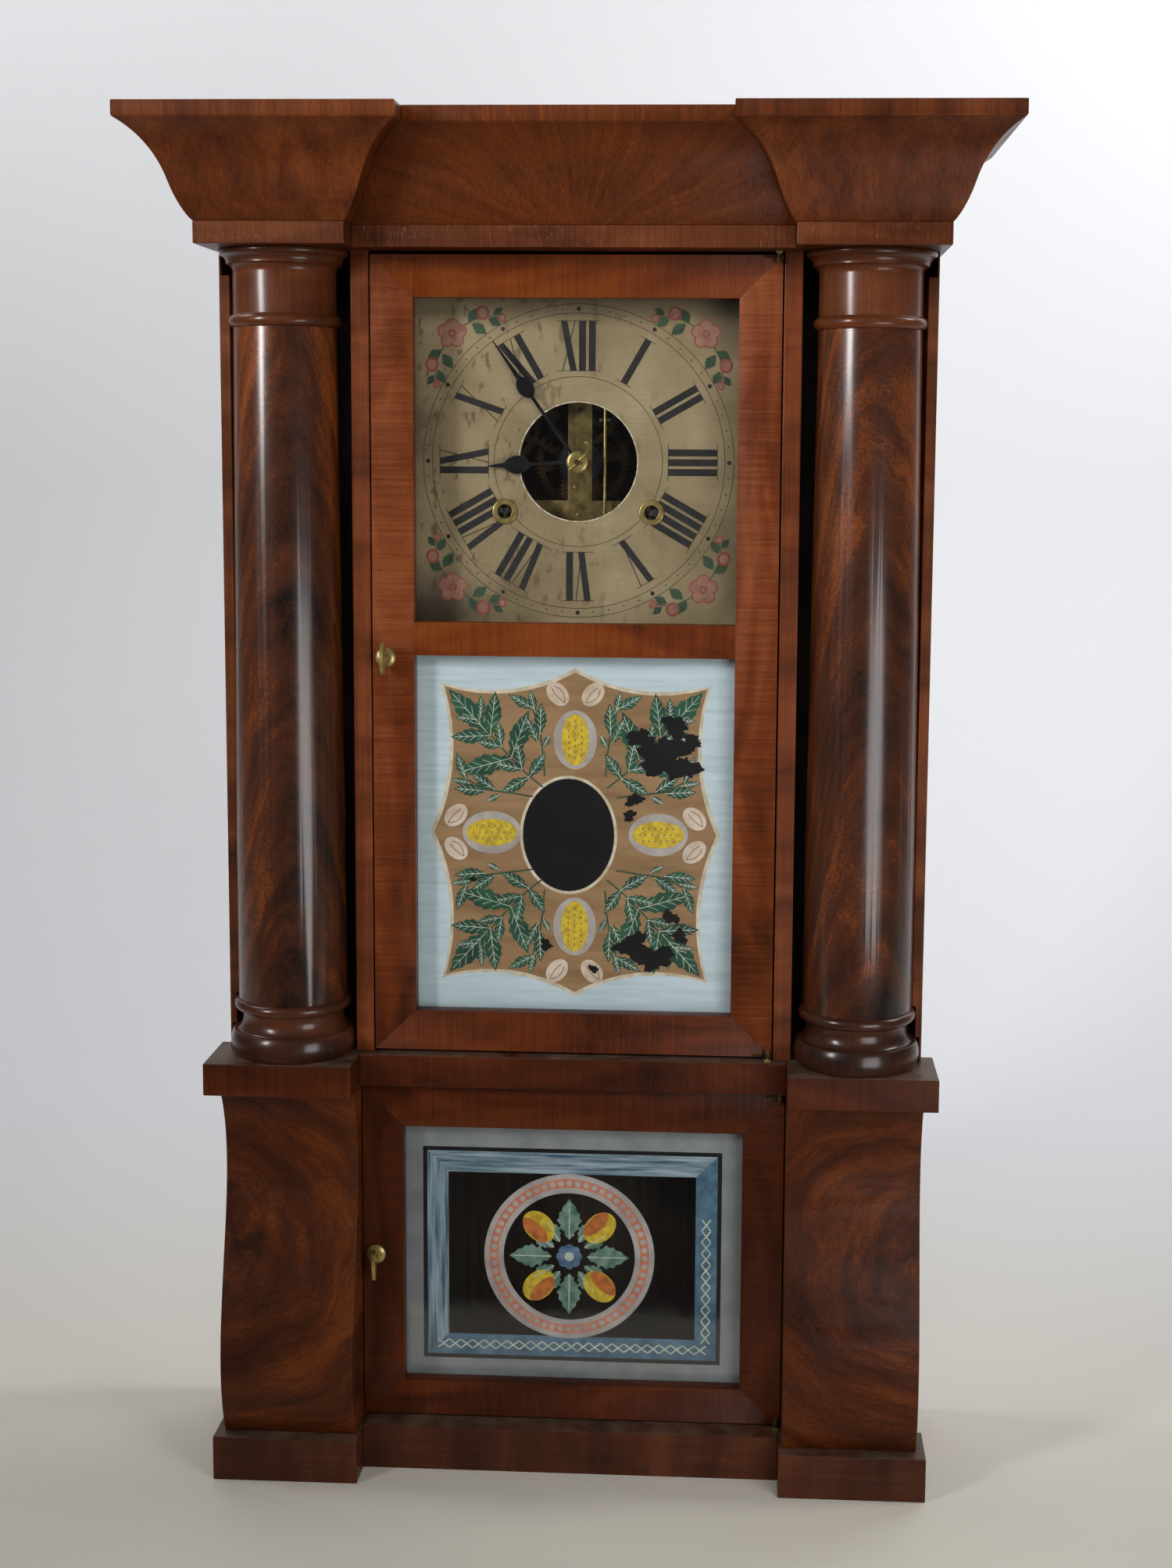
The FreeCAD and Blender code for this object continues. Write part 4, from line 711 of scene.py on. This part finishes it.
strap_front = 0.0330
rivet_r, rivet_high, rivet_round = 0.0016, 0.0009, 0.0005
rivet_places = ((0.0042, 0.6485), (-0.0030, 0.6210), (-0.0013, 0.6037))
quarter_turn = math.radians(90)
rivets = bmesh.new()
for across, rise in rivet_places:
    spot = Matrix.Translation((across, strap_front - rivet_high / 2, rise))
    bmesh.ops.create_cone(
        rivets, cap_ends=True, segments=20, radius1=rivet_r, radius2=rivet_r * 0.7,
        depth=rivet_high, matrix=spot @ Matrix.Rotation(quarter_turn, 4, "X"),
    )
crown = strap_front - rivet_high
crowns = [edge for edge in rivets.edges
          if all(abs(end.co.y - crown) < 0.00001 for end in edge.verts)]
bmesh.ops.bevel(
    rivets, geom=crowns, offset=rivet_round, affect="EDGES", segments=3, profile=0.5, material=-1,
)
show(rivets, "strap_rivets", bright_brass, body_for["front_plate"])

# Steel and iron work: pillars, drums, verge, hammer and pulley brackets, forged or turned.
# The weights and pulleys are rough iron castings, black with age.


def dark_iron(name, dark, bright, rough, metallic):
    """Bare iron or steel gone dark."""
    material, shader, place = new_material(name)
    rust = ramp(noise(place, 90, 5), (0.35, dark), (0.7, bright))
    feed(shader, {"Base Color": rust, "Roughness": rough, "Metallic": metallic})
    roughen(shader, noise(place, 420, 3), 0.0002)
    return material


dull_steel = dark_iron("dull_steel", (84, 82, 80), (132, 128, 122), 0.42, 1.0)
cast_iron = dark_iron("cast_iron", (26, 24, 24), (56, 48, 42), 0.7, 0.6)
for name in ("plate_pillars", "time_drum", "strike_drum", "verge_crutch", "hammer",
             "pulley_brackets"):
    finish_node(name, dull_steel)
for name in ("left_weight", "right_weight", "left_pulley", "right_pulley"):
    finish_node(name, cast_iron)

# Nails: cut iron nails driven through the back boards into the case sides, the top and the bottom.
# Each hammered head is a low uneven dome that stands half a millimetre proud of the wood.

nail_foot, nail_top, nail_round, nail_astray = 0.0027, 0.0015, 0.00015, 0.003
side_nails, side_rises = 0.2105, (0.06, 0.19, 0.33, 0.47, 0.61, 0.74)
row_nails, row_rises = (-0.16, -0.09, -0.05, 0.02, 0.06, 0.10, 0.17), (0.022, 0.767)
nail_places = [(side * side_nails, rise) for side in (-1, 1) for rise in side_rises]
nail_places += [(across, rise) for across in row_nails for rise in row_rises]
nails = bmesh.new()
for count, (across, rise) in enumerate(nail_places):
    astray = nail_astray * math.sin(count * 2.3)
    spot = Matrix.Translation((across + astray, back_face - nail_stand / 2, rise))
    driven = spot @ Matrix.Rotation(-quarter_turn, 4, "X") @ Matrix.Rotation(count * 0.7, 4, "Z")
    bmesh.ops.create_cone(
        nails, cap_ends=True, segments=6, radius1=nail_foot, radius2=nail_top, depth=nail_stand,
        matrix=driven,
    )
rims = [edge for edge in nails.edges if edge.calc_face_angle() > math.radians(20)]
bmesh.ops.bevel(
    nails, geom=rims, offset=nail_round, affect="EDGES", segments=2, profile=0.5, material=-1,
)
rusty_iron = dark_iron("rusty_iron", (30, 22, 18), (74, 48, 32), 0.75, 0.4)
show(nails, "back_nails", rusty_iron, body_for["back_board"])

# Pendulum: a brass-faced bob soldered to a thin wire, which hangs before the movement from a cock.
# The wire shows through the hole in the dial, and the bob swings behind the painted upper tablet.

finish_node("pendulum", bright_brass)

# Hands: thin steel, filed to a drop and a long point, blued nearly black.
# A dished brass collet and a taper pin hold the minute hand on its arbor.

hand_arris = 0.0001
hand_blue = dark_iron("blued_steel", (20, 21, 26), (40, 40, 46), 0.45, 0.7)
for name, finish in (("minute_hand", hand_blue), ("hour_hand", hand_blue),
                     ("hand_collet", bright_brass)):
    eased(name, hand_arris, finish)

# Upper door: mitred frame with veneer laid across each member, so the grain meets at the mitres.
# The middle rail is a lighter piece, fitted between the stiles.

door_arris = 0.0003


def door_figure(along):
    """Crossing bars, with painted shade that darkens them toward the foot of the door."""
    def figure(place):
        # Painted shade: the bars lighten toward the top of the door and darken toward its foot, as
        # the light falls off downward.
        paler = level(axes(place)[2], 0.28, 0.56)
        return weigh((ribbon_figure(along)(place), 1.0), (paler, 0.18), start=-0.11)
    return figure


stile_veneer = veneer("stile_veneer", "X", (58, 25, 10), (97, 44, 17), (128, 70, 38),
                      door_figure("X"))
rail_veneer = veneer("rail_veneer", "Z", (57, 23, 6), (95, 40, 10), (119, 59, 20),
                     door_figure("Z"))
eased("upper_door_stiles", door_arris, stile_veneer)
eased("upper_door_rails", door_arris, rail_veneer)

# Panes: old cylinder glass, slightly wavy, one over the dial and one before each painting.
# They are held in the rebates at the back of the doors with small pine fillets and putty.

pane_glass, shader, place = new_material("wavy_glass")
tree = pane_glass.node_tree
tree.nodes.remove(shader)
waves = noise(place, (18, 18, 11), 3)
ripple = shader_node(tree, "Bump", {"Height": waves, "Distance": 0.002, "Strength": 0.3}).outputs[0]
clear = shader_node(tree, "BsdfTransparent", {"Color": (0.985, 0.99, 0.985, 1.0)})
shine = shader_node(tree, "BsdfGlossy",
                    {"Color": (1, 1, 1, 1), "Roughness": 0.08, "Normal": ripple})
slant = shader_node(tree, "LayerWeight", {"Blend": 0.5, "Normal": ripple}).outputs["Facing"]
edge_on = weigh((maths("POWER", slant, 5.0), 0.7), start=0.035)
pane = shader_node(tree, "MixShader", {0: edge_on, 1: clear.outputs[0], 2: shine.outputs[0]})
feed(tree.nodes["Material Output"], {"Surface": pane.outputs[0]})
for name in ("dial_glass", "upper_tablet", "lower_tablet"):
    finish_node(name, pane_glass)

# Upper tablet: oil paint on the back of the glass, the front strokes laid first, the ground last.
# A tan cartouche on pale blue holds a dark oval, fruits, leaf sprays and buds; where flakes are
# lost, black paint stands in for the shade of the case behind the bare glass (painted shade).

tablet_x, tablet_z, tablet_half, tablet_rise = spread_of("upper_tablet")
tablet_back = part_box("upper_tablet")[1].y
tablet_margin, coat = 0.0005, 0.00003
coat_apart = coat * 1.5
cartouche_edge, cartouche = (0.0835, 0.0935, 0.0905, 0.1035), (0.0815, 0.0915, 0.0880, 0.1010)
oval_rim, oval_inside = (0.0305, 0.0375), (0.0286, 0.0356)


def upper_film(name, outlines, layer, material):
    """One coat of the upper tablet, behind those with a lower layer number."""
    front = tablet_back + coat_apart * layer
    film(name, outlines, front, coat, material, "upper_door")


def corners(middle, half, rise):
    """The corners of an upright rectangle, from the lower left and round by the right."""
    return [(middle[0] + x * half, middle[1] + z * rise)
            for x, z in ((-1, -1), (1, -1), (1, 1), (-1, 1))]


def arc(start, end, bow, count=8):
    """Points from a start to an end, bowed to the left of the way between."""
    way = Vector((end[0] - start[0], end[1] - start[1]))
    side = Vector((-way.y, way.x)).normalized()
    points = []
    for step in range(count):
        share = step / count
        lift = bow * 4 * share * (1 - share)
        points.append((start[0] + way.x * share + side.x * lift,
                       start[1] + way.y * share + side.y * lift))
    return points


def scalloped(half_wide, half_high, point_wide, point_high, bow=0.0085):
    """A cartouche with eight points and hollow sides."""
    points = [(point_wide, 0), (half_wide, half_high), (0, point_high), (-half_wide, half_high),
              (-point_wide, 0), (-half_wide, -half_high), (0, -point_high), (half_wide, -half_high)]
    outline = []
    for start, end in zip(points, points[1:] + points[:1]):
        outline += arc(start, end, bow)
    return [(tablet_x + x, tablet_z + z) for x, z in outline]


sky_paint = oil_colour("pale_blue_paint", (190, 205, 212), (174, 190, 197), (20, 20, 240), 0.45)
tan_paint = oil_colour("tan_paint", (152, 119, 84), (128, 97, 64), (14, 14, 90))
cream_paint = oil_colour("cream_paint", (206, 196, 176), (178, 160, 134), 120)
oval_paint = oil_colour("oval_black_paint", (19, 15, 17), (12, 10, 11), 40, 0.35)
green_paint = oil_colour("leaf_green_paint", (32, 82, 58), (20, 56, 42), 90)
vein_paint = oil_colour("vein_white_paint", (196, 200, 186), (150, 164, 150), 150)
yellow_paint = oil_colour("fruit_yellow_paint", (206, 180, 44), (168, 138, 34), 260)
husk_paint = oil_colour("husk_grey_paint", (172, 164, 158), (150, 140, 134), 70)
bud_paint = oil_colour("bud_paint", (206, 192, 176), (180, 158, 138), 90)
oval_spot = (tablet_x - 0.004, tablet_z - 0.001)
ground = corners((tablet_x, tablet_z), tablet_half - tablet_margin, tablet_rise - tablet_margin)
upper_film("tablet_ground", [ground], 8, sky_paint)
upper_film("tablet_cartouche_edge", [scalloped(*cartouche_edge)], 7, cream_paint)
upper_film("tablet_cartouche", [scalloped(*cartouche)], 6, tan_paint)
upper_film("tablet_oval_rim", [oval(oval_spot, *oval_rim, 48)], 4, cream_paint)
upper_film("tablet_oval", [oval(oval_spot, *oval_inside, 48)], 3, oval_paint)

leaf_places = (
    (55, 63, 48, 36), (53, 61, 97, 28), (53, 61, -3, 25), (40, 47, 110, 32), (40, 47, -16, 34),
    (29, 35, 124, 19), (29, 35, -30, 20), (46, 54, 82, 17), (46, 54, 12, 16), (33, 40, 78, 18),
    (33, 40, 12, 18), (22, 62, 92, 20), (23, 57, 64, 18), (20, 54, 118, 10), (26, 78, 30, 18),
    (25, 76, 76, 14), (56, 26, 4, 20), (50, 27, 34, 18), (47, 24, -28, 10), (68, 33, 70, 18),
    (66, 31, 10, 12), (61, 71, 4, 14), (59, 72, 92, 14),
)
stem_places = (((20, 29), (30, 37), (41, 48), (55, 64)), ((19, 36), (20, 50), (22, 64), (27, 80)),
               ((26, 23), (40, 25), (56, 27), (69, 34)))
stem_wide, midrib_wide, vein_wide, fold_wide = 0.0009, 0.00045, 0.0003, 0.0006


def in_corner(corner, x, z):
    """A place on the tablet, in millimetres from its middle toward one corner."""
    return tablet_x + corner[0] * x / 1000, tablet_z + corner[1] * z / 1000


green_leaves, veins, stems = [], [], []
for corner in four_corners:
    for stem in stem_places:
        stems += line([in_corner(corner, *spot) for spot in stem], stem_wide)
    for x, z, angle, millimetres in leaf_places:
        root, length = in_corner(corner, x, z), millimetres / 1000
        turn = math.radians(angle)
        turn = math.atan2(corner[1] * math.sin(turn), corner[0] * math.cos(turn))
        green_leaves.append(leaf(root, turn, length, length * 0.21))
        veins += line([root, out_from(root, length * 0.9, turn)], midrib_wide)
        for share in (0.18, 0.36, 0.54, 0.70):
            fork = out_from(root, length * share, turn)
            reach = length * (0.19 if share < 0.6 else 0.13)
            for lean in (-0.6, 0.6):
                veins += line([fork, out_from(fork, reach, turn + lean)], vein_wide)
upper_film("tablet_leaves", green_leaves, 2.4, green_paint)
upper_film("tablet_stems", stems, 1.8, green_paint)
upper_film("tablet_veins", veins, 1.2, vein_paint)

fruit_above, fruit_beside = 0.0590, 0.0520
husk_wide, husk_high, flesh_wide, flesh_high = 0.0135, 0.0185, 0.0085, 0.0160
seed_wide, seed_high, seed_aside, seed_along = 0.0006, 0.0009, 0.0040, 0.0038
bud_wide, bud_high, bud_end, fold_bows = 0.0060, 0.0084, 0.0070, (-0.0032, 0.0012)
bud_above, bud_above_lean = (0.0110, 0.0285), 0.7
bud_beside, bud_beside_lean = (0.0225, 0.0105), 0.8
husks, flesh, seeds, buds, bud_folds = [], [], [], [], []
for across, up in ((0, 1), (0, -1), (1, 0), (-1, 0)):
    far = fruit_above if up else fruit_beside
    fruit = (tablet_x + across * far, tablet_z + up * far)
    turn = 0 if up else math.pi / 2
    husks.append(oval(fruit, husk_wide, husk_high, 32, turn))
    flesh.append(oval(fruit, flesh_wide, flesh_high, 32, turn))
    for row in range(-3, 4):
        for column in (-1, 0, 1):
            aside = column * seed_aside
            along = row * seed_along + (seed_along / 2 if column else 0)
            if abs(aside) / flesh_wide + abs(along) / flesh_high < 1.1:
                shift = (aside, along) if up else (along, aside)
                seed = (fruit[0] + shift[0], fruit[1] + shift[1])
                seeds.append(oval(seed, seed_wide, seed_high, 8))
    for step in (-1, 1):
        if up:
            shift = (step * bud_above[0], up * bud_above[1])
            lean = -step * up * bud_above_lean
        else:
            shift = (across * bud_beside[0], step * bud_beside[1])
            lean = step * across * bud_beside_lean
        bud = (fruit[0] + shift[0], fruit[1] + shift[1])
        buds.append(oval(bud, bud_wide, bud_high, 24, lean))
        ends = [out_from(bud, end, lean + math.pi / 2) for end in (-bud_end, bud_end)]
        for bow in fold_bows:
            bud_folds += line(arc(*ends, bow, 7), fold_wide)
upper_film("tablet_husks", husks, 2.9, husk_paint)
upper_film("tablet_fruit", flesh, 2.0, yellow_paint)
upper_film("tablet_seeds", seeds, 1.4, tan_paint)
upper_film("tablet_buds", buds, 2.2, bud_paint)
upper_film("tablet_bud_folds", bud_folds, 1.6, tan_paint)

flake_places = (
    (0.054, 0.050, 0.014), (0.067, 0.042, 0.009), (0.041, 0.060, 0.008), (0.062, 0.068, 0.008),
    (0.072, 0.058, 0.006), (0.036, -0.070, 0.009), (0.049, -0.078, 0.011), (0.060, -0.052, 0.005),
    (0.066, -0.064, 0.005), (0.034, 0.012, 0.004), (0.037, 0.022, 0.005), (-0.064, -0.030, 0.002),
    (0.012, -0.086, 0.003), (-0.018, -0.071, 0.004),
)
ragged_waves = ((2, 0.16, 1.3), (3, 0.12, 2.1), (5, 0.10, 0.7), (9, 0.07, 3.1), (14, 0.05, 1.9),
                (23, 0.04, 2.7))
flake_points, flake_mean, flake_stretch = 64, 0.80, 1.25
flake_shade_patches = []
for count, (x, z, size) in enumerate(flake_places):
    flake = []
    for step in range(flake_points):
        angle = 2 * math.pi * step / flake_points
        reach = flake_mean + sum(height * math.sin(waves * angle + count * shift)
                                 for waves, height, shift in ragged_waves)
        flake.append((tablet_x + x + size * reach * flake_stretch * math.cos(angle),
                      tablet_z + z + size * reach * math.sin(angle)))
    flake_shade_patches.append(flake)
# Painted shade: the lost flakes are filled with black paint in front of every other coat, standing
# in for the dark case seen through bare glass.
upper_film("tablet_flake_shade", flake_shade_patches, 0.5, oval_paint)

# Lower door: the same mitred frame on a smaller scale, with the veneer again laid across; its
# darker tones are partly the wood's own and partly painted shade for the less lit lower stage.
# It is rebated at the back for one pane, and is hung on the right like the upper door.

# Partly painted shade: these tones are darker than the upper door's, both for darker wood and to
# stand in for the weaker light low on the case.
lower_stile_veneer = veneer("lower_stile_veneer", "X", (38, 15, 6), (65, 27, 9), (87, 40, 15))
lower_rail_veneer = veneer("lower_rail_veneer", "Z", (42, 17, 6), (71, 30, 10), (95, 44, 16))
eased("lower_door_stiles", door_arris, lower_stile_veneer)
eased("lower_door_rails", door_arris, lower_rail_veneer)

# Lower tablet: a grey border, a black line and a streaked blue band painted behind the glass.
# A ring of dots in the clear middle holds fruits and leaves about a blue rosette.

pane_x, pane_z, pane_half, pane_rise = spread_of("lower_tablet")
pane_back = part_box("lower_tablet")[1].y
pane_margin = 0.0004
frame_spot, ring_spot = (pane_x - 0.0010, pane_z - 0.0032), (pane_x - 0.0026, pane_z - 0.0038)
line_half, line_rise = 0.0953, 0.0702
rule_wide, band_wide = 0.0027, 0.0137
knot_long, knot_short, knot_apart, knot_wide = 0.0036, 0.0028, 0.0075, 0.0009
ring_inner, ring_outer, dotted_inner, dotted_outer = 0.0420, 0.0545, 0.0455, 0.0511
bead_out, bead_r, beads_round = 0.0483, 0.0019, 56
petal_out, petal_r, petals_round = 0.0054, 0.0030, 8
fruit_out, fruit_size, blush_aside, blush_size = 0.0275, (0.0118, 0.0088), 0.0034, (0.0105, 0.0046)
leaf_out, leaf_leans, leaf_vein = 0.0115, ((0, 0.027), (-32, 0.017), (32, 0.017)), 0.0007


def lower_film(name, outlines, layer, material):
    """One coat of the lower tablet, behind those with a lower layer number."""
    front = pane_back + coat_apart * layer
    film(name, outlines, front, coat, material, "lower_door")


def base_hoop(name, ring, layer, material):
    """One ring of the lower tablet."""
    front = pane_back + coat_apart * layer
    hoops(name, [ring], ring_spot, front, coat, material, "lower_door", 96)


def bars_between(outer, inner):
    """The bottom, right, top and left bars of a border between two rectangles."""
    return [[outer[turn], outer[turn - 3], inner[turn - 3], inner[turn]] for turn in range(4)]


def crossed(spot, half_wide, half_high):
    """Two strokes that cross at a spot."""
    return [quad for lean in (half_high, -half_high) for quad in line(
        [(spot[0] - half_wide, spot[1] - lean), (spot[0] + half_wide, spot[1] + lean)], knot_wide)]


grey_paint = oil_colour("grey_border_paint", (134, 138, 139), (118, 122, 124), 50, 0.45)
level_blue = oil_colour("level_blue_paint", (148, 165, 174), (46, 77, 99), (22, 22, 420), 0.45)
upright_blue = oil_colour("upright_blue_paint", (142, 160, 170), (46, 77, 99), (420, 22, 22), 0.45)
deep_blue = oil_colour("deep_blue_paint", (84, 116, 136), (50, 80, 102), 90, 0.45)
outer = corners((pane_x, pane_z), pane_half - pane_margin, pane_rise - pane_margin)
rule, band, clear_middle = [corners(frame_spot, line_half - inset, line_rise - inset)
                            for inset in (0, rule_wide, rule_wide + band_wide)]
lower_film("base_border", bars_between(outer, rule), 4, grey_paint)
bottom, right, top, left = bars_between(rule, band)
lower_film("base_line", [bottom, top, left, right], 4, oval_paint)
bottom, right, top, left = bars_between(band, clear_middle)
lower_film("base_top_band", [top], 4, level_blue)
lower_film("base_left_band", [left], 4, upright_blue)
lower_film("base_plain_bands", [bottom, right], 4, deep_blue)
band_middle = band_wide / 2 + rule_wide
knots = []
for step in range(-11, 12):
    spot = (frame_spot[0] + step * knot_apart, frame_spot[1] - line_rise + band_middle)
    knots += crossed(spot, knot_long, knot_short)
for step in range(-7, 4):
    spot = (frame_spot[0] + line_half - band_middle, frame_spot[1] + step * knot_apart)
    knots += crossed(spot, knot_short, knot_long)
lower_film("base_knots", knots, 2, vein_paint)

ring_paint = oil_colour("ring_grey_paint", (170, 164, 160), (146, 138, 136), 60)
dot_paint = oil_colour("dot_orange_paint", (196, 120, 92), (176, 104, 82), 120)
orange_paint = oil_colour("fruit_orange_paint", (190, 112, 44), (150, 78, 34), 150)
base_green = oil_colour("grey_green_paint", (116, 142, 128), (58, 98, 80), 140)
plum_blue = oil_colour("rosette_blue_paint", (96, 122, 150), (60, 84, 116), 140)
base_hoop("base_ring", (ring_inner, ring_outer), 3, ring_paint)
base_hoop("base_ring_line", (dotted_inner, dotted_outer), 2, dot_paint)
beads = [disc(out_from(ring_spot, bead_out, 2 * math.pi * bead / beads_round), bead_r, 12)
         for bead in range(beads_round)]
petals = [disc(out_from(ring_spot, petal_out, 2 * math.pi * petal / petals_round), petal_r, 14)
          for petal in range(petals_round)]
base_fruit, fruit_blush, base_leaves, base_veins = [], [], [], []
for quarter in range(4):
    diagonal = math.radians(45 + 90 * quarter)
    fruit = out_from(ring_spot, fruit_out, diagonal)
    base_fruit.append(oval(fruit, *fruit_size, 28, diagonal))
    blush = out_from(fruit, blush_aside, diagonal + math.pi / 2)
    fruit_blush.append(oval(blush, *blush_size, 24, diagonal))
    for lean, length in leaf_leans:
        turn = math.radians(90 * quarter + lean)
        root = out_from(ring_spot, leaf_out, turn)
        base_leaves.append(leaf(root, turn, length, length * 0.30))
        base_veins += line([root, out_from(root, length * 0.9, turn)], leaf_vein)
lower_film("base_beads", beads, 1, ring_paint)
lower_film("base_fruit", base_fruit, 3, yellow_paint)
lower_film("base_fruit_blush", fruit_blush, 2, orange_paint)
lower_film("base_leaves", base_leaves, 3.6, base_green)
lower_film("base_veins", base_veins, 2.6, vein_paint)
lower_film("base_petals", petals, 2.2, plum_blue)
lower_film("base_rosette_eye", [disc(ring_spot, petal_r, 16)], 1.2, vein_paint)

# Fittings: brass turn latches through the left stiles, each a knob with a drop that turns with it.
# The hinges on the right are knuckles bent from thin strip, let into the edge and gone brown.

fitting_arris = 0.0002
browned_brass = old_brass("browned_brass", (48, 34, 22), (96, 72, 40), 0.45)
for name, finish in (("upper_latch", bright_brass), ("lower_latch", bright_brass),
                     ("upper_door_hinges", browned_brass), ("lower_door_hinges", browned_brass)):
    eased(name, fitting_arris, finish)

# Studio: a pale paper sweep with floor before it, a tall soft light at the left, broad fills,
# a low reflector and a lit backdrop. The floor in front isn't mirrored, so the polish stays deep.

studio_half, table_edge, wall_foot, sweep_r, wall_high = 9.0, -0.222, 0.75, 0.6, 2.6
paper, shader, place = new_material("grey_white_paper")
clouded = weigh((noise(place, 5, 4), 0.1), start=axes(place)[1])
paler = ramp(clouded, (0.0, (240, 234, 221)), (0.7, (228, 229, 232)))
feed(shader, {"Base Color": paler, "Roughness": 0.9})
tree = paper.node_tree
one_sided = shader_node(tree, "MixShader", {
    0: shader_node(tree, "NewGeometry").outputs["Backfacing"], 1: shader.outputs[0],
    2: shader_node(tree, "BsdfTransparent").outputs[0],
})
feed(tree.nodes["Material Output"], {"Surface": one_sided.outputs[0]})

sweep = bmesh.new()
ends = [sweep.verts.new((side * studio_half, table_edge, 0.0)) for side in (-1, 1)]
flat = bmesh.ops.extrude_edge_only(sweep, edges=[sweep.edges.new(ends)])["geom"]
bmesh.ops.translate(sweep, verts=only(bmesh.types.BMVert, flat), vec=(0, wall_foot - table_edge, 0))
bend = bmesh.ops.spin(
    sweep, geom=only(bmesh.types.BMEdge, flat)[:1], cent=(0, wall_foot, sweep_r), axis=(1, 0, 0),
    angle=math.pi / 2, steps=16,
)["geom_last"]
wall = bmesh.ops.extrude_edge_only(sweep, edges=only(bmesh.types.BMEdge, bend))["geom"]
bmesh.ops.translate(sweep, verts=only(bmesh.types.BMVert, wall), vec=(0, 0, wall_high))
bmesh.ops.recalc_face_normals(sweep, faces=sweep.faces)
if sum(face.normal.z for face in sweep.faces) < 0:
    bmesh.ops.reverse_faces(sweep, faces=sweep.faces)
as_object(sweep, "sweep", paper)
floor = bmesh.new()
bmesh.ops.create_grid(floor, x_segments=1, y_segments=1, size=studio_half)
bmesh.ops.translate(floor, verts=floor.verts, vec=(0, table_edge - studio_half, 0))
front_floor = as_object(floor, "front_floor", paper)
front_floor.visible_glossy = False


def soft_light(name, spot, aim, size, power, spread, mirrored=True):
    """A rectangular soft box that faces a point, with or without a mirror image in the polish."""
    lamp = bpy.data.lights.new(name, "AREA")
    lamp.shape = "RECTANGLE"
    lamp.size, lamp.size_y = size
    lamp.energy = power
    lamp.spread = math.radians(spread)
    made = bpy.data.objects.new(name, lamp)
    made.location = spot
    made.rotation_mode = "QUATERNION"
    made.rotation_quaternion = (Vector(aim) - Vector(spot)).to_track_quat("-Z", "Y")
    made.visible_glossy = mirrored
    made.visible_camera = False
    bpy.context.scene.collection.objects.link(made)


soft_light("left_soft_box", (-1.25, -1.20, 1.10), (0, 0, 0.80), (0.26, 0.80), 2.5, 58)
soft_light("right_fill", (1.25, -1.05, 1.00), (0, 0, 0.70), (0.90, 0.90), 0.9, 80, False)
soft_light("front_fill", (0.10, -1.75, 1.55), (0, 0, 0.82), (1.2, 0.6), 1.8, 55, False)
soft_light("low_reflector", (0.45, -0.64, 0.27), (-0.05, 0, 0.38), (0.36, 0.46), 1.5, 140)
soft_light("backdrop_light", (1.7, 0.25, 1.9), (0.75, 1.35, 1.75), (0.7, 0.7), 31, 150)
soft_light("backdrop_fill", (-1.5, 0.25, 2.0), (-0.5, 1.35, 1.7), (0.7, 0.7), 16, 150)
world = bpy.data.worlds.new("dark_room")
world.use_nodes = True
feed(world.node_tree.nodes["Background"], {"Color": (1, 1, 1, 1), "Strength": 0.05})
scene = bpy.context.scene
scene.world = world
scene.view_settings.view_transform = "Standard"

# Camera: it stands a little right of the middle, 1.3 m before the clock, and looks slightly down.
# Its lens and shift are in pixels of the whole picture, as they were fitted to the case's corners.

picture_wide, picture_high = 1500, 2006
focal_pixels = 2704
axis_x, axis_y = 811.0, 897.1
yaw, pitch, roll = math.radians(-3.072), math.radians(6.876), math.radians(0.413)
camera_spot = Vector((0.1055, -1.2885, 0.6465))
ahead = math.cos(pitch)
forward = Vector((math.sin(yaw) * ahead, math.cos(yaw) * ahead, -math.sin(pitch)))
rightward = Vector((math.cos(yaw), -math.sin(yaw), 0))
upward = rightward.cross(forward)
rolled_right = rightward * math.cos(roll) + upward * math.sin(roll)
rolled_up = upward * math.cos(roll) - rightward * math.sin(roll)
lens = bpy.data.cameras.new("camera")
lens.sensor_width = 36
lens.lens = focal_pixels / picture_high * lens.sensor_width
lens.shift_x = (picture_wide / 2 - axis_x) / picture_high
lens.shift_y = (axis_y - picture_high / 2) / picture_high
camera = bpy.data.objects.new("camera", lens)
turn = Matrix((rolled_right, rolled_up, -forward)).transposed()
camera.matrix_world = Matrix.Translation(camera_spot) @ turn.to_4x4()
scene.collection.objects.link(camera)
scene.camera = camera
